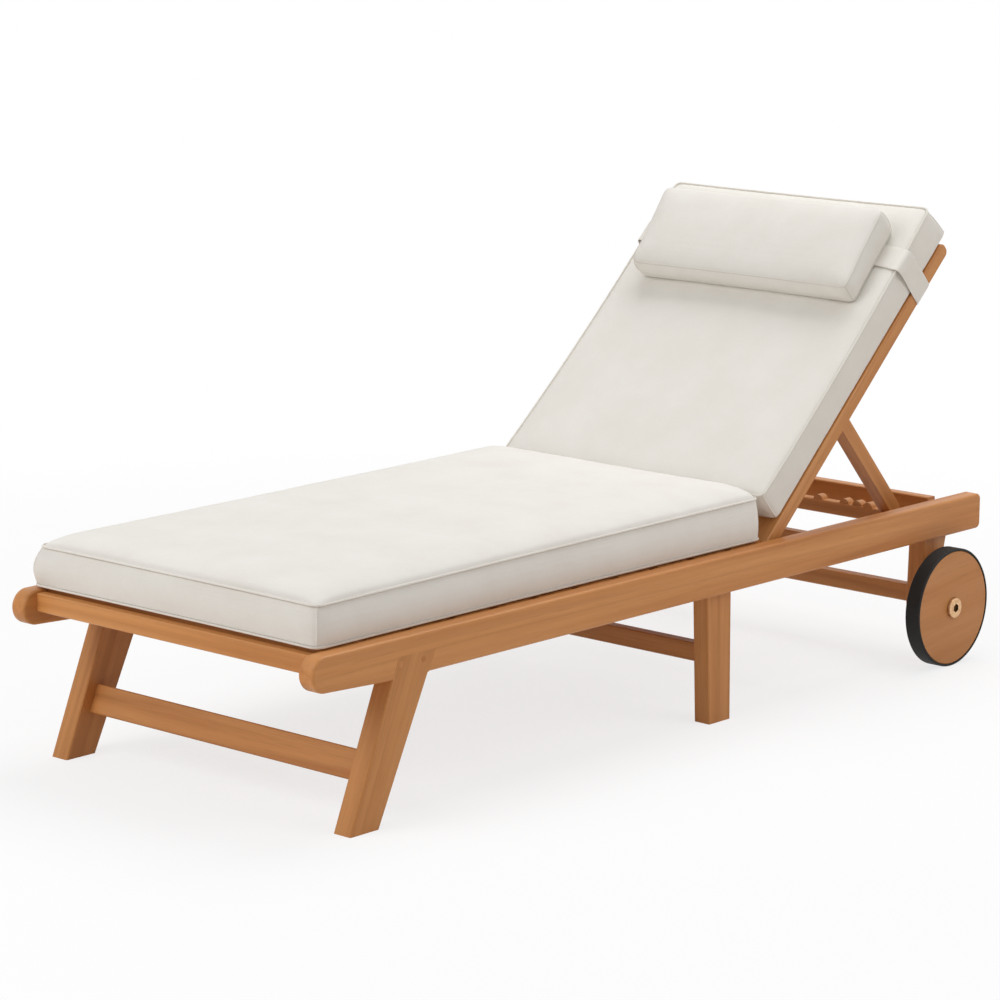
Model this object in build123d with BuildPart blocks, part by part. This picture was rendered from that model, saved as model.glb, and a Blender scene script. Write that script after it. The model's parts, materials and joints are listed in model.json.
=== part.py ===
# Teak sun lounger: a slatted wooden frame on four legs and two wheels, with a back that tilts on
# bolts in the side rails and is held up by a pair of prop arms over toothed racks, a seat cushion,
# a back cushion and a headrest pillow held by a strap.
# Millimetres, Z up. The origin is on the floor under the middle of the frame. The foot end faces
# -Y, the head end and the wheels +Y. Right is +X.
from math import asin, cos, degrees, radians, sin
import os

from build123d import *

os.makedirs("parts", exist_ok=True)

# Overall frame
length = 2000.0
width = 780.0
rail_thick = 36.0
rail_height = 74.0
rail_bottom = 262.0
rail_round = 5.0
rail_end_round = 12.0
nose_rise = 8.0

# Joints between boards
tenon_length = 18.0
tenon_shoulder = 8.0
tenon_share = 0.45
fit_gap = 0.1
overrun = 5.0
board_ease = 2.0

# Front legs, raked forward, half lapped into the outside of the rails
front_leg_setback = 92.0
front_leg_lean = 106.0
front_leg_foot = 73.0
front_leg_head = 93.0
front_leg_thick = 42.0
front_lap = 18.0
plug_radius = 6.0
plug_depth = 5.0
plug_spacing = 58.0
plug_forward = 7.0
plug_height = 26.0

# Middle legs, shouldered under the rails and bolted to their inside
mid_leg_inset = 21.0
leg_inset = 13.0
leg_thick = 38.0
mid_leg_before_hinge = 208.3
mid_leg_foot = 65.0
mid_leg_lean = -12.0
mid_leg_head = 73.0
leg_tongue_inset = 8.0
bolt_radius = 4.0
bolt_head_radius = 9.0
bolt_head = 3.0
bolt_reach = 26.0
bolt_spacing = 30.0

# Rear legs, each with a rounded lower end round its axle
rear_leg_forward = 20.0
rear_leg_head = 78.0
rear_leg_end_radius = 25.0
rear_leg_thick = 40.0

# Wheels
axle_setback = 162.0
wheel_radius = 124.0
wheel_thick = 34.0
wheel_gap = 29.0
tyre_wall = 5.0
tyre_ease = 2.0
disc_inset = 0.8
disc_ease = 1.5
axle_radius = 6.0
axle_clearance = 0.05
bush_wall = 4.0
side_play = 0.3
spacer_radius = 12.0
washer_thick = 1.5
hub_radius = 21.0
hub_thick = 5.0
hub_ease = 1.5
hub_socket = 12.0
hub_socket_depth = 3.0
nut_radius = 8.0
nut_length = 26.0
nut_cover = 4.0
axle_end = 1.0

# Boards across the frame
apron_setback = 32.0
apron_thick = 22.0
apron_height = 35.0
apron_drop = 5.6
front_stretcher_thick = 25.0
front_stretcher_height = 56.0
front_stretcher_middle = 103.0
stretcher_thick = 26.0
mid_stretcher_height = 37.0
mid_stretcher_middle = 134.0
rear_stretcher_height = 36.0
rear_stretcher_middle = 138.0
rear_rail_thick = 26.0
rear_rail_setback = 2.0
rear_rail_drop = 22.0

# Seat slats on ledgers
slat_least_gap = 18.0
slat_thick = 16.0
slat_width = 92.0
slat_end_gap = 1.0
seat_slats_setback = 58.0
seat_slats_hinge_gap = 36.3
ledger_width = 24.0
ledger_height = 22.0

# Back frame. Its planes start at the hinge: along the back, and out of its face.
back_angle = 43.33
hinge_setback = 671.7
hinge_below_top = 16.0
stile_thick = 35.0
stile_depth = 31.0
stile_length = 790.0
stile_side_gap = 6.0
stile_end_round = 13.0
hinge_bolt_radius = 6.0
hinge_head_radius = 10.0
hinge_head = 3.0
hinge_reach = 26.0
back_rail_low = 30.0
back_rail_low_width = 40.0
back_rail_high_setback = 50.0
back_rail_high_width = 45.0
back_slat_count = 4
back_slat_thick = 18.0
back_slat_seat = 20.0
back_slat_side_gap = 48.0
back_slat_gap = 27.0

# Prop arms, which pivot on the stiles
prop_pivot = 355.2
prop_length = 328.6
foot_below_top = 16.0753
arm_thick = 31.0
arm_depth = 30.0
arm_stile_gap = 5.0
pivot_radius = 5.0
pivot_head_radius = 9.0
pivot_head = 2.6
pivot_reach = 24.0
tie_start = 20.0
tie_width = 30.0
tie_thick = 11.0
tie_housing = 8.0

# Racks under the prop arms, lapped over two cross boards
rack_side_gap = 2.0
rack_reach = 301.0
rack_rail_thick = 24.0
rack_rail_height = 28.0
rack_rear_setback = 95.0
rack_end_overhang = 8.0
rack_depth = 27.0
rack_run_gap = 0.4
rack_fall = 2.2
foot_dip = 2.3
notch_pitch = 40.0
notch_depth = 7.0
notch_width = 16.0
notch_count = 6
notches_behind_rest = 1
lug_width = 24.0
lug_height = 10.0
lug_thick = 20.0
lug_place_shares = (0.12, 0.315, 0.41, 0.49)
recess_below_stile = 3.0
recess_side = 3.0

# Cushions
soft_gap = 0.3
cushion_corner = 14.0
cushion_draw = 4.0
seat_cushion_setback = 52.0
seat_cushion_hinge_gap = 47.3
seat_cushion_inset = 31.0
seat_cushion_aside = -10.0
seat_cushion_seam = 77.0
seat_cushion_crown = 22.0
back_cushion_low = 45.0
back_cushion_overhang = 25.0
back_cushion_inset = 6.0
back_cushion_taper = 17.0
back_cushion_seam = 71.0
back_cushion_crown = 10.0
back_cushion_low_round = 26.0
back_cushion_high_round = 22.0
seat_end_round = 8.0
pillow_setback = 71.0
pillow_height = 200.0
pillow_inset = 70.0
pillow_aside = 14.0
pillow_side = 50.0
pillow_crown = 15.0
pillow_round = 16.0
strap_up_pillow = 90.0
strap_width = 56.0
strap_thick = 1.5
strap_gap = 0.4

# Places that follow from the sizes
front_end = -length / 2
front_leg_front = front_end + front_leg_setback
rear_end = length / 2
rail_top = rail_bottom + rail_height
rail_outer = width / 2
rail_inner = rail_outer - rail_thick
hinge_z = rail_top - hinge_below_top
hinge_y = rear_end - hinge_setback
axle_y = rear_end - axle_setback
mid_leg_front = hinge_y - mid_leg_before_hinge
rear_leg_front = axle_y - rear_leg_forward
rack_rear_rail_y = rear_end - rack_rear_setback
rack_front = rack_rear_rail_y - rack_reach
seat_slats_front = front_end + seat_slats_setback
seat_slats_rear = hinge_y - seat_slats_hinge_gap
leg_outer = rail_outer - leg_inset
stile_outer = rail_inner - stile_side_gap
stile_inner = stile_outer - stile_thick
stile_half = stile_depth / 2
arm_outer = stile_inner - arm_stile_gap
arm_inner = arm_outer - arm_thick
arm_half = arm_depth / 2
axle_z = wheel_radius
wheel_inner_x = leg_outer + wheel_gap
wheel_face_x = wheel_inner_x + wheel_thick
ledger_top = rail_top - slat_thick
ledger_bottom = ledger_top - ledger_height
back_slat_low = stile_half - back_slat_thick
back_slat_field = 2 * (stile_inner - back_slat_side_gap)
back_rail_high = stile_length - back_rail_high_setback

back_c = cos(radians(back_angle))
back_s = sin(radians(back_angle))
pivot_y = hinge_y + prop_pivot * back_c
pivot_z = hinge_z + prop_pivot * back_s
foot_z = rail_top - foot_below_top
prop_angle = -degrees(asin((pivot_z - foot_z) / prop_length))
prop_c = cos(radians(prop_angle))
prop_s = sin(radians(prop_angle))
foot_y = pivot_y + prop_length * prop_c
back_face = Plane(origin=(0, hinge_y, hinge_z), x_dir=(1, 0, 0), z_dir=(0, -back_s, back_c))


def side(x):
    """The plane across the lounger at x: first along Y, then up."""
    return Plane.YZ.offset(x)


def back_side(x):
    """The plane across the back at x: first along the back from the hinge, then out of its face."""
    return Plane(origin=(x, hinge_y, hinge_z), x_dir=(0, back_c, back_s), z_dir=(1, 0, 0))


def prop_side(x):
    """The plane across a prop arm at x: first from the pivot to the foot, then square to it."""
    return Plane(origin=(x, pivot_y, pivot_z), x_dir=(0, prop_c, prop_s), z_dir=(1, 0, 0))


def save(piece, name):
    """Label a finished piece and write its file."""
    piece.part.label = name
    export_step(piece.part, f"parts/{name}.step")


def save_pair(piece, name):
    """Write a right-hand piece and its mirror image on the left."""
    with BuildPart() as left:
        mirror(piece.part, about=Plane.YZ)
    save(piece, f"{name}_right")
    save(left, f"{name}_left")


def save_both(piece, name):
    """Write a right-hand piece and its mirror image as one group."""
    with BuildPart() as group:
        add(piece.part)
        mirror(piece.part, about=Plane.YZ)
    save(group, name)


def bar(plane, reach, *outline):
    """A straight prism of an outline, given as corner points, from its plane along the normal."""
    with BuildPart() as prism:
        with BuildSketch(plane):
            with BuildLine():
                Polyline(*outline, close=True)
            make_face()
        extrude(amount=reach)
    return prism.part


def rod(plane, centre, radius, reach):
    """A round bar from its plane along the normal."""
    with BuildPart() as round_bar:
        with BuildSketch(plane):
            with Locations(centre):
                Circle(radius)
        extrude(amount=reach)
    return round_bar.part


def steep(edge):
    """True for an edge that runs up and down."""
    return abs(edge.tangent_at(0.5).Z) > abs(edge.tangent_at(0.5).Y) + abs(edge.tangent_at(0.5).X)


def cross_board(section, half_span, thick, height):
    """A board across the lounger, centred on its section plane, with a tenon on each end."""
    with BuildPart() as board:
        with BuildSketch(section.offset(-half_span)) as outline:
            Rectangle(thick, height)
            chamfer(outline.vertices(), length=board_ease)
        extrude(amount=2 * half_span)
        with BuildSketch(section.offset(-half_span - tenon_length)):
            Rectangle(thick * tenon_share, height - 2 * tenon_shoulder)
        extrude(amount=2 * (half_span + tenon_length))
    return board


def mortise(section, face_x, thick, height):
    """The pocket for a cross board's right-hand tenon, from the face that the board meets."""
    with BuildPart(mode=Mode.PRIVATE) as pocket:
        with BuildSketch(section.offset(face_x)):
            Rectangle(thick * tenon_share + 2 * fit_gap, height - 2 * tenon_shoulder + 2 * fit_gap)
        extrude(amount=tenon_length + fit_gap)
    return pocket.part


def board_section(y, z, lean=0):
    """The section plane of a cross board, on the lounger's middle, leaned back by an angle."""
    return Plane(origin=(0, y, z), x_dir=(0, cos(radians(lean)), -sin(radians(lean))), z_dir=(1, 0, 0))


def along(low, high, z):
    """The place at height z on an edge that runs from low at the floor to high at the rail."""
    return low + (high - low) * z / rail_bottom


def leg_sides(front, foot, lean, head, low_z, high_z):
    """Corners of a tapered leg's side between two heights, from its sizes at floor and rail."""
    rear = front + foot
    top_front = front + lean
    top_rear = top_front + head
    return (
        (along(front, top_front, low_z), low_z),
        (along(rear, top_rear, low_z), low_z),
        (along(rear, top_rear, high_z), high_z),
        (along(front, top_front, high_z), high_z),
    )


def front_leg_sides(low_z, high_z):
    """Corners of a front leg's side between two heights."""
    return leg_sides(front_leg_front, front_leg_foot, front_leg_lean, front_leg_head, low_z, high_z)


def bolt_places(tongue_front, tongue_rear):
    """Centres of the two bolts through a leg's tongue."""
    middle = (tongue_front + tongue_rear) / 2
    z = (rail_bottom + ledger_bottom) / 2
    return [(middle - bolt_spacing / 2, z), (middle + bolt_spacing / 2, z)]


# Tongues of the middle and rear legs, and the bolts through them
mid_tongue_front = mid_leg_front + mid_leg_lean + leg_tongue_inset
mid_tongue_rear = mid_leg_front + mid_leg_lean + mid_leg_head - leg_tongue_inset
rear_tongue_front = rear_leg_front + leg_tongue_inset
rear_tongue_rear = rear_leg_front + rear_leg_head - leg_tongue_inset
mid_bolts = bolt_places(mid_tongue_front, mid_tongue_rear)
rear_bolts = bolt_places(rear_tongue_front, rear_tongue_rear)

# Section planes of the cross boards
front_rake = Vector(front_leg_lean, rail_bottom).get_angle(Vector(0, rail_bottom))
front_stretcher_y = (
    along(front_leg_front, front_leg_front + front_leg_lean, front_stretcher_middle)
    + along(front_leg_foot, front_leg_head, front_stretcher_middle) / 2
)
mid_stretcher_y = (
    along(mid_leg_front, mid_leg_front + mid_leg_lean, mid_stretcher_middle)
    + along(mid_leg_foot, mid_leg_head, mid_stretcher_middle) / 2
)
rear_stretcher_y = axle_y + (rear_leg_front + rear_leg_head / 2 - axle_y) / 2
rear_rail_height = rail_height - rear_rail_drop

apron_at = board_section(
    front_end + apron_setback + apron_thick / 2, rail_top - apron_drop - apron_height / 2
)
front_stretcher_at = board_section(front_stretcher_y, front_stretcher_middle, front_rake)
mid_stretcher_at = board_section(mid_stretcher_y, mid_stretcher_middle)
rear_stretcher_at = board_section(rear_stretcher_y, rear_stretcher_middle)
rear_rail_at = board_section(
    rear_end - rear_rail_setback - rear_rail_thick / 2, rail_bottom + rear_rail_height / 2
)
rack_rear_at = board_section(rack_rear_rail_y, rail_bottom + rack_rail_height / 2)
rack_front_at = board_section(rack_front, rail_bottom + rack_rail_height / 2)

# Side rails: a half-round foot end that the underside rises to, rounded long edges, a lap for the
# front leg and the mortises
lap_face = rail_outer - front_lap
nose_bottom = rail_bottom + nose_rise
nose_middle = (nose_bottom + rail_top) / 2
rail_end_centre = front_end + rail_top - nose_middle
with BuildPart() as side_rail:
    with BuildSketch(side(rail_inner)) as rail_side:
        with BuildLine():
            Polyline(
                (rail_end_centre, rail_top),
                (rear_end, rail_top),
                (rear_end, rail_bottom),
                (front_leg_front + front_leg_lean, rail_bottom),
                (rail_end_centre, nose_bottom),
            )
            ThreePointArc(
                (rail_end_centre, nose_bottom), (front_end, nose_middle), (rail_end_centre, rail_top)
            )
        make_face()
        fillet(rail_side.vertices().group_by(Axis.X)[-1], radius=rail_end_round)
    extrude(amount=rail_thick)
    fillet(side_rail.edges().filter_by(Plane.YZ), radius=rail_round)
    lap = front_leg_sides(rail_bottom - overrun, rail_top + overrun)
    add(bar(side(lap_face), front_lap + overrun, *lap), mode=Mode.SUBTRACT)
    for section, thick, height in (
        (apron_at, apron_thick, apron_height),
        (rear_rail_at, rear_rail_thick, rear_rail_height),
        (rack_rear_at, rack_rail_thick, rack_rail_height),
        (rack_front_at, rack_rail_thick, rack_rail_height),
    ):
        add(mortise(section, rail_inner, thick, height), mode=Mode.SUBTRACT)
    add(
        rod(side(rail_inner), (hinge_y, hinge_z), hinge_bolt_radius + fit_gap, hinge_reach + fit_gap),
        mode=Mode.SUBTRACT,
    )
    for place in mid_bolts + rear_bolts:
        add(rod(side(rail_inner), place, bolt_radius + fit_gap, bolt_reach + fit_gap), mode=Mode.SUBTRACT)
save_pair(side_rail, "side_rail")

# Front legs: a full leg under the rail, and a tongue let into the outside of the rail
front_leg_inner = rail_outer - front_leg_thick
with BuildPart() as front_leg:
    below = front_leg_sides(0, rail_bottom)
    add(bar(side(front_leg_inner), front_leg_thick, *below))
    chamfer(front_leg.edges().filter_by(steep), length=board_ease)
    above = front_leg_sides(rail_bottom, rail_top)
    add(bar(side(lap_face), front_lap, *above))
    top_edge = front_leg.edges().filter_by(Axis.Y).group_by(Axis.Z)[-1].sort_by(Axis.X)[-1]
    fillet(top_edge, radius=rail_round)
    add(
        mortise(front_stretcher_at, front_leg_inner, front_stretcher_thick, front_stretcher_height),
        mode=Mode.SUBTRACT,
    )
    plug_z = rail_bottom + plug_height
    plug_middle = (
        along(front_leg_front, front_leg_front + front_leg_lean, plug_z)
        + along(front_leg_foot, front_leg_head, plug_z) / 2
        - plug_forward
    )
    plug_places = [(plug_middle - plug_spacing / 2, plug_z), (plug_middle + plug_spacing / 2, plug_z)]
    for place in plug_places:
        add(rod(side(rail_outer - plug_depth), place, plug_radius, plug_depth + overrun), mode=Mode.SUBTRACT)
save_pair(front_leg, "front_leg")

with BuildPart() as plug_pair:
    for place in plug_places:
        add(rod(side(rail_outer - plug_depth), place, plug_radius - fit_gap / 2, plug_depth))
save_both(plug_pair, "wood_plugs")


def tongued_leg(outline, inset, thick, tongue_front, tongue_rear):
    """A leg inset under the rail, with a tongue up the rail's inner face."""
    inner = rail_outer - inset - thick
    with BuildPart() as leg:
        add(outline(inner, thick))
        tongue = (
            (tongue_front, rail_bottom - overrun),
            (tongue_rear, rail_bottom - overrun),
            (tongue_rear, ledger_bottom),
            (tongue_front, ledger_bottom),
        )
        add(bar(side(inner), rail_inner - inner, *tongue))
    return leg


# Middle legs
mid_leg_inner = rail_outer - mid_leg_inset - leg_thick


def mid_leg_body(inner, thick):
    """The tapered leg under the rail."""
    with BuildPart() as body:
        corners = leg_sides(mid_leg_front, mid_leg_foot, mid_leg_lean, mid_leg_head, 0, rail_bottom)
        add(bar(side(inner), thick, *corners))
        chamfer(body.edges().filter_by(steep), length=board_ease)
    return body.part


with BuildPart() as mid_leg:
    mid_leg_shape = tongued_leg(mid_leg_body, mid_leg_inset, leg_thick, mid_tongue_front, mid_tongue_rear)
    add(mid_leg_shape.part)
    add(mortise(mid_stretcher_at, mid_leg_inner, stretcher_thick, mid_stretcher_height), mode=Mode.SUBTRACT)
    for place in mid_bolts:
        add(rod(side(mid_leg_inner), place, bolt_radius + fit_gap, leg_thick), mode=Mode.SUBTRACT)
save_pair(mid_leg, "mid_leg")

# Rear legs: tapered to a round end about the axle, with the hole for the barrel nut
rear_leg_inner = leg_outer - rear_leg_thick
nut_x = leg_outer - nut_cover - nut_radius
axle_start = nut_x - nut_radius - axle_end


def rear_leg_body(inner, thick):
    """The leg under the rail, from its head down to the round end."""
    with BuildPart() as body:
        with BuildSketch(side(inner)):
            with BuildLine():
                Polyline(
                    (axle_y - rear_leg_end_radius, axle_z),
                    (rear_leg_front, rail_bottom),
                    (rear_leg_front + rear_leg_head, rail_bottom),
                    (axle_y + rear_leg_end_radius, axle_z),
                )
                ThreePointArc(
                    (axle_y + rear_leg_end_radius, axle_z),
                    (axle_y, axle_z - rear_leg_end_radius),
                    (axle_y - rear_leg_end_radius, axle_z),
                )
            make_face()
        extrude(amount=thick)
        chamfer(body.edges().filter_by(steep), length=board_ease)
    return body.part


nut_plane = Plane.XZ.offset(-axle_y - nut_length / 2)
with BuildPart() as rear_leg:
    rear_leg_shape = tongued_leg(
        rear_leg_body, leg_inset, rear_leg_thick, rear_tongue_front, rear_tongue_rear
    )
    add(rear_leg_shape.part)
    pocket = mortise(rear_stretcher_at, rear_leg_inner, stretcher_thick, rear_stretcher_height)
    add(pocket, mode=Mode.SUBTRACT)
    for place in rear_bolts:
        add(rod(side(rear_leg_inner), place, bolt_radius + fit_gap, rear_leg_thick), mode=Mode.SUBTRACT)
    axle_hole = rod(
        side(axle_start - fit_gap), (axle_y, axle_z), axle_radius + fit_gap, leg_outer + overrun - axle_start
    )
    add(axle_hole, mode=Mode.SUBTRACT)
    add(rod(nut_plane, (nut_x, axle_z), nut_radius + fit_gap, nut_length), mode=Mode.SUBTRACT)
save_pair(rear_leg, "rear_leg")

# Bolts that hold the middle and rear legs to the rails, from the inside
with BuildPart() as leg_bolt_set:
    for inner, places in (
        (mid_leg_inner, mid_bolts),
        (rear_leg_inner, rear_bolts),
    ):
        for place in places:
            add(rod(side(inner - bolt_head), place, bolt_head_radius, bolt_head))
            add(rod(side(inner), place, bolt_radius, rail_inner - inner + bolt_reach))
save_both(leg_bolt_set, "leg_bolts")

# Cross boards
front_stretcher = cross_board(
    front_stretcher_at, front_leg_inner, front_stretcher_thick, front_stretcher_height
)
save(front_stretcher, "front_stretcher")
mid_stretcher = cross_board(mid_stretcher_at, mid_leg_inner, stretcher_thick, mid_stretcher_height)
save(mid_stretcher, "mid_stretcher")
rear_stretcher = cross_board(rear_stretcher_at, rear_leg_inner, stretcher_thick, rear_stretcher_height)
save(rear_stretcher, "rear_stretcher")
front_apron = cross_board(apron_at, rail_inner, apron_thick, apron_height)
save(front_apron, "front_apron")

# The rear cross rail, stepped down at each end for the stiles and the prop arms when the back lies flat
recess_floor = hinge_z - stile_half - recess_below_stile
recess_inner = arm_inner - recess_side
rear_rail = cross_board(rear_rail_at, rail_inner, rear_rail_thick, rear_rail_height)
with BuildPart() as rear_cross_rail:
    add(rear_rail.part)
    recess = (
        (rear_end - rear_rail_thick - 2 * overrun, recess_floor),
        (rear_end + overrun, recess_floor),
        (rear_end + overrun, rail_top),
        (rear_end - rear_rail_thick - 2 * overrun, rail_top),
    )
    cut = bar(side(recess_inner), rail_inner - recess_inner, *recess)
    add(cut, mode=Mode.SUBTRACT)
    add(mirror(cut, about=Plane.YZ, mode=Mode.PRIVATE), mode=Mode.SUBTRACT)
save(rear_cross_rail, "rear_cross_rail")

# Racks: a bar under each prop arm, whose top just clears the foot, with notches a foot wide
foot_bottom = foot_z - arm_half
rack_tip = foot_bottom - rack_run_gap
rack_low_tip = rack_tip - rack_fall
rack_bottom = rack_tip - rack_depth
rack_outer = arm_outer + rack_side_gap
rack_inner = arm_inner - rack_side_gap
rack_start = rack_front - rack_rail_thick / 2 - rack_end_overhang
rack_end = rack_rear_rail_y + rack_rail_thick / 2 + rack_end_overhang
rack_lap = rail_bottom + rack_rail_height - (rail_bottom + rack_rail_height - rack_bottom) / 2
with BuildPart() as rack:
    outline = (
        (rack_start, rack_bottom),
        (rack_end, rack_bottom),
        (rack_end, rack_low_tip),
        (foot_y, rack_tip),
        (rack_start, rack_tip),
    )
    add(bar(side(rack_inner), rack_outer - rack_inner, *outline))
    for number in range(notch_count):
        notch_y = foot_y + (notches_behind_rest - number) * notch_pitch
        notch = (
            (notch_y - notch_width / 2, rack_tip + overrun),
            (notch_y - notch_width / 2, rack_low_tip),
            (notch_y + notch_width / 2, rack_tip - notch_depth),
            (notch_y + notch_width / 2, rack_tip + overrun),
        )
        add(bar(side(rack_inner), rack_outer - rack_inner, *notch), mode=Mode.SUBTRACT)
    for rail_y in (rack_front, rack_rear_rail_y):
        lap_cut = (
            (rail_y - rack_rail_thick / 2 - fit_gap, rack_bottom - overrun),
            (rail_y + rack_rail_thick / 2 + fit_gap, rack_bottom - overrun),
            (rail_y + rack_rail_thick / 2 + fit_gap, rack_lap),
            (rail_y - rack_rail_thick / 2 - fit_gap, rack_lap),
        )
        add(bar(side(rack_inner), rack_outer - rack_inner, *lap_cut), mode=Mode.SUBTRACT)
save_pair(rack, "rack")


def rack_rail(section, y):
    """A cross board with a slot in its top edge for each rack."""
    plain = cross_board(section, rail_inner, rack_rail_thick, rack_rail_height)
    slot_outline = (
        (y - rack_rail_thick, rack_lap),
        (y + rack_rail_thick, rack_lap),
        (y + rack_rail_thick, rack_tip),
        (y - rack_rail_thick, rack_tip),
    )
    slot = bar(side(rack_inner - fit_gap), rack_outer - rack_inner + 2 * fit_gap, *slot_outline)
    with BuildPart() as board:
        add(plain.part)
        add(slot, mode=Mode.SUBTRACT)
        add(mirror(slot, about=Plane.YZ, mode=Mode.PRIVATE), mode=Mode.SUBTRACT)
    return board


rack_front_rail = rack_rail(rack_front_at, rack_front)
save(rack_front_rail, "rack_front_rail")

# The rear one carries a row of rounded lugs along its top
with BuildPart() as rack_rear_rail:
    add(rack_rail(rack_rear_at, rack_rear_rail_y).part)
    lug_bottom = rail_bottom + rack_rail_height
    with BuildSketch(Plane.XZ.offset(-rack_rear_rail_y - lug_thick / 2)):
        for share in lug_place_shares:
            for place in (-share * rail_inner, share * rail_inner):
                with BuildLine():
                    Line((place - lug_width / 2, lug_bottom), (place + lug_width / 2, lug_bottom))
                    ThreePointArc(
                        (place - lug_width / 2, lug_bottom),
                        (place, lug_bottom + lug_height),
                        (place + lug_width / 2, lug_bottom),
                    )
                make_face()
    extrude(amount=lug_thick)
save(rack_rear_rail, "rack_rear_rail")

# Ledgers along the rails, and the seat slats on them
with BuildPart() as ledger:
    with BuildSketch(Plane.XY.offset(ledger_bottom)):
        with Locations((rail_inner - ledger_width / 2, (seat_slats_front + seat_slats_rear) / 2)):
            Rectangle(ledger_width, seat_slats_rear - seat_slats_front)
    extrude(amount=ledger_height)
save_pair(ledger, "slat_ledger")

slat_run = seat_slats_rear - seat_slats_front + slat_least_gap
slat_count = int(slat_run // (slat_width + slat_least_gap))
slat_pitch = (seat_slats_rear - seat_slats_front - slat_width) / (slat_count - 1)
for number in range(slat_count):
    slat_y = seat_slats_front + slat_width / 2 + number * slat_pitch
    with BuildPart() as seat_slat:
        with BuildSketch(Plane.XY.offset(ledger_top)):
            with Locations((0, slat_y)):
                Rectangle(2 * (rail_inner - slat_end_gap), slat_width)
        extrude(amount=slat_thick)
        chamfer(seat_slat.edges().filter_by(Axis.X).group_by(Axis.Z)[-1], length=board_ease)
    save(seat_slat, f"seat_slat_{number + 1:02d}")

# Wheels: a wooden disc, a rubber tyre round it and a bush in its middle
wheel_centre = (axle_y, axle_z)
tyre_inner = wheel_radius - tyre_wall
bush_radius = axle_radius + axle_clearance + bush_wall
wheel_plane = Plane(origin=(0, axle_y, axle_z), x_dir=(1, 0, 0), z_dir=(0, -1, 0))
wheel_axis = Axis((0, axle_y, axle_z), (1, 0, 0))
with BuildPart() as wheel_disc:
    with BuildSketch(side(wheel_inner_x + disc_inset)):
        with Locations(wheel_centre):
            Circle(tyre_inner)
            Circle(bush_radius, mode=Mode.SUBTRACT)
    extrude(amount=wheel_thick - 2 * disc_inset)
    chamfer(wheel_disc.edges().group_by(SortBy.LENGTH)[-1], length=disc_ease)
save_pair(wheel_disc, "wheel_disc")

with BuildPart() as tyre:
    with BuildSketch(wheel_plane):
        with BuildLine():
            Polyline(
                (wheel_inner_x, wheel_radius - tyre_ease),
                (wheel_inner_x, tyre_inner),
                (wheel_face_x, tyre_inner),
                (wheel_face_x, wheel_radius - tyre_ease),
                (wheel_face_x - tyre_ease, wheel_radius),
                (wheel_inner_x + tyre_ease, wheel_radius),
                close=True,
            )
        make_face()
    revolve(axis=wheel_axis)
save_pair(tyre, "tyre")

with BuildPart() as wheel_bush:
    with BuildSketch(side(wheel_inner_x)):
        with Locations(wheel_centre):
            Circle(bush_radius)
            Circle(axle_radius + axle_clearance, mode=Mode.SUBTRACT)
    extrude(amount=wheel_thick)
save_pair(wheel_bush, "wheel_bush")

# Axle bolts with a socket head, the sleeves and washers beside the wheels, and the barrel nuts
washer_x = wheel_face_x + side_play
head_x = washer_x + washer_thick
with BuildPart() as axle_bolt:
    add(rod(side(axle_start), wheel_centre, axle_radius, head_x - axle_start))
    add(rod(side(head_x), wheel_centre, hub_radius, hub_thick))
    rim = axle_bolt.edges().filter_by(GeomType.CIRCLE).group_by(Axis.X)[-1]
    chamfer(rim, length=hub_ease)
    with BuildSketch(side(head_x + hub_thick - hub_socket_depth)):
        with Locations(wheel_centre):
            RegularPolygon(hub_socket / 2, side_count=6)
    extrude(amount=hub_socket_depth, mode=Mode.SUBTRACT)
save_pair(axle_bolt, "axle_bolt")

with BuildPart() as axle_sleeve:
    for start, radius, reach in (
        (leg_outer, spacer_radius, wheel_inner_x - side_play - leg_outer),
        (washer_x, hub_radius, washer_thick),
    ):
        with BuildSketch(side(start)):
            with Locations(wheel_centre):
                Circle(radius)
                Circle(axle_radius + axle_clearance, mode=Mode.SUBTRACT)
        extrude(amount=reach)
save_both(axle_sleeve, "axle_spacers")

with BuildPart() as barrel_nut:
    add(rod(nut_plane, (nut_x, axle_z), nut_radius, nut_length))
    add(
        rod(side(nut_x - 2 * nut_radius), wheel_centre, axle_radius + axle_clearance, 4 * nut_radius),
        mode=Mode.SUBTRACT,
    )
save_both(barrel_nut, "axle_barrel_nuts")

# Back frame: two stiles, a rail at each end rabbeted for the slats, and the slats along the back
back_slat_start = back_rail_low + back_rail_low_width - back_slat_seat
back_slat_end = back_rail_high + back_slat_seat
low_rail = (back_rail_low, back_rail_low_width)
high_rail = (back_rail_high, back_rail_high_width)


def back_section(start, breadth):
    """The section plane of a cross rail of the back."""
    plane = back_side(0)
    return Plane(
        origin=plane.from_local_coords(Vector(start + breadth / 2, 0, 0)),
        x_dir=plane.y_dir,
        z_dir=plane.z_dir,
    )


low_section = back_section(*low_rail)
high_section = back_section(*high_rail)

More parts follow.
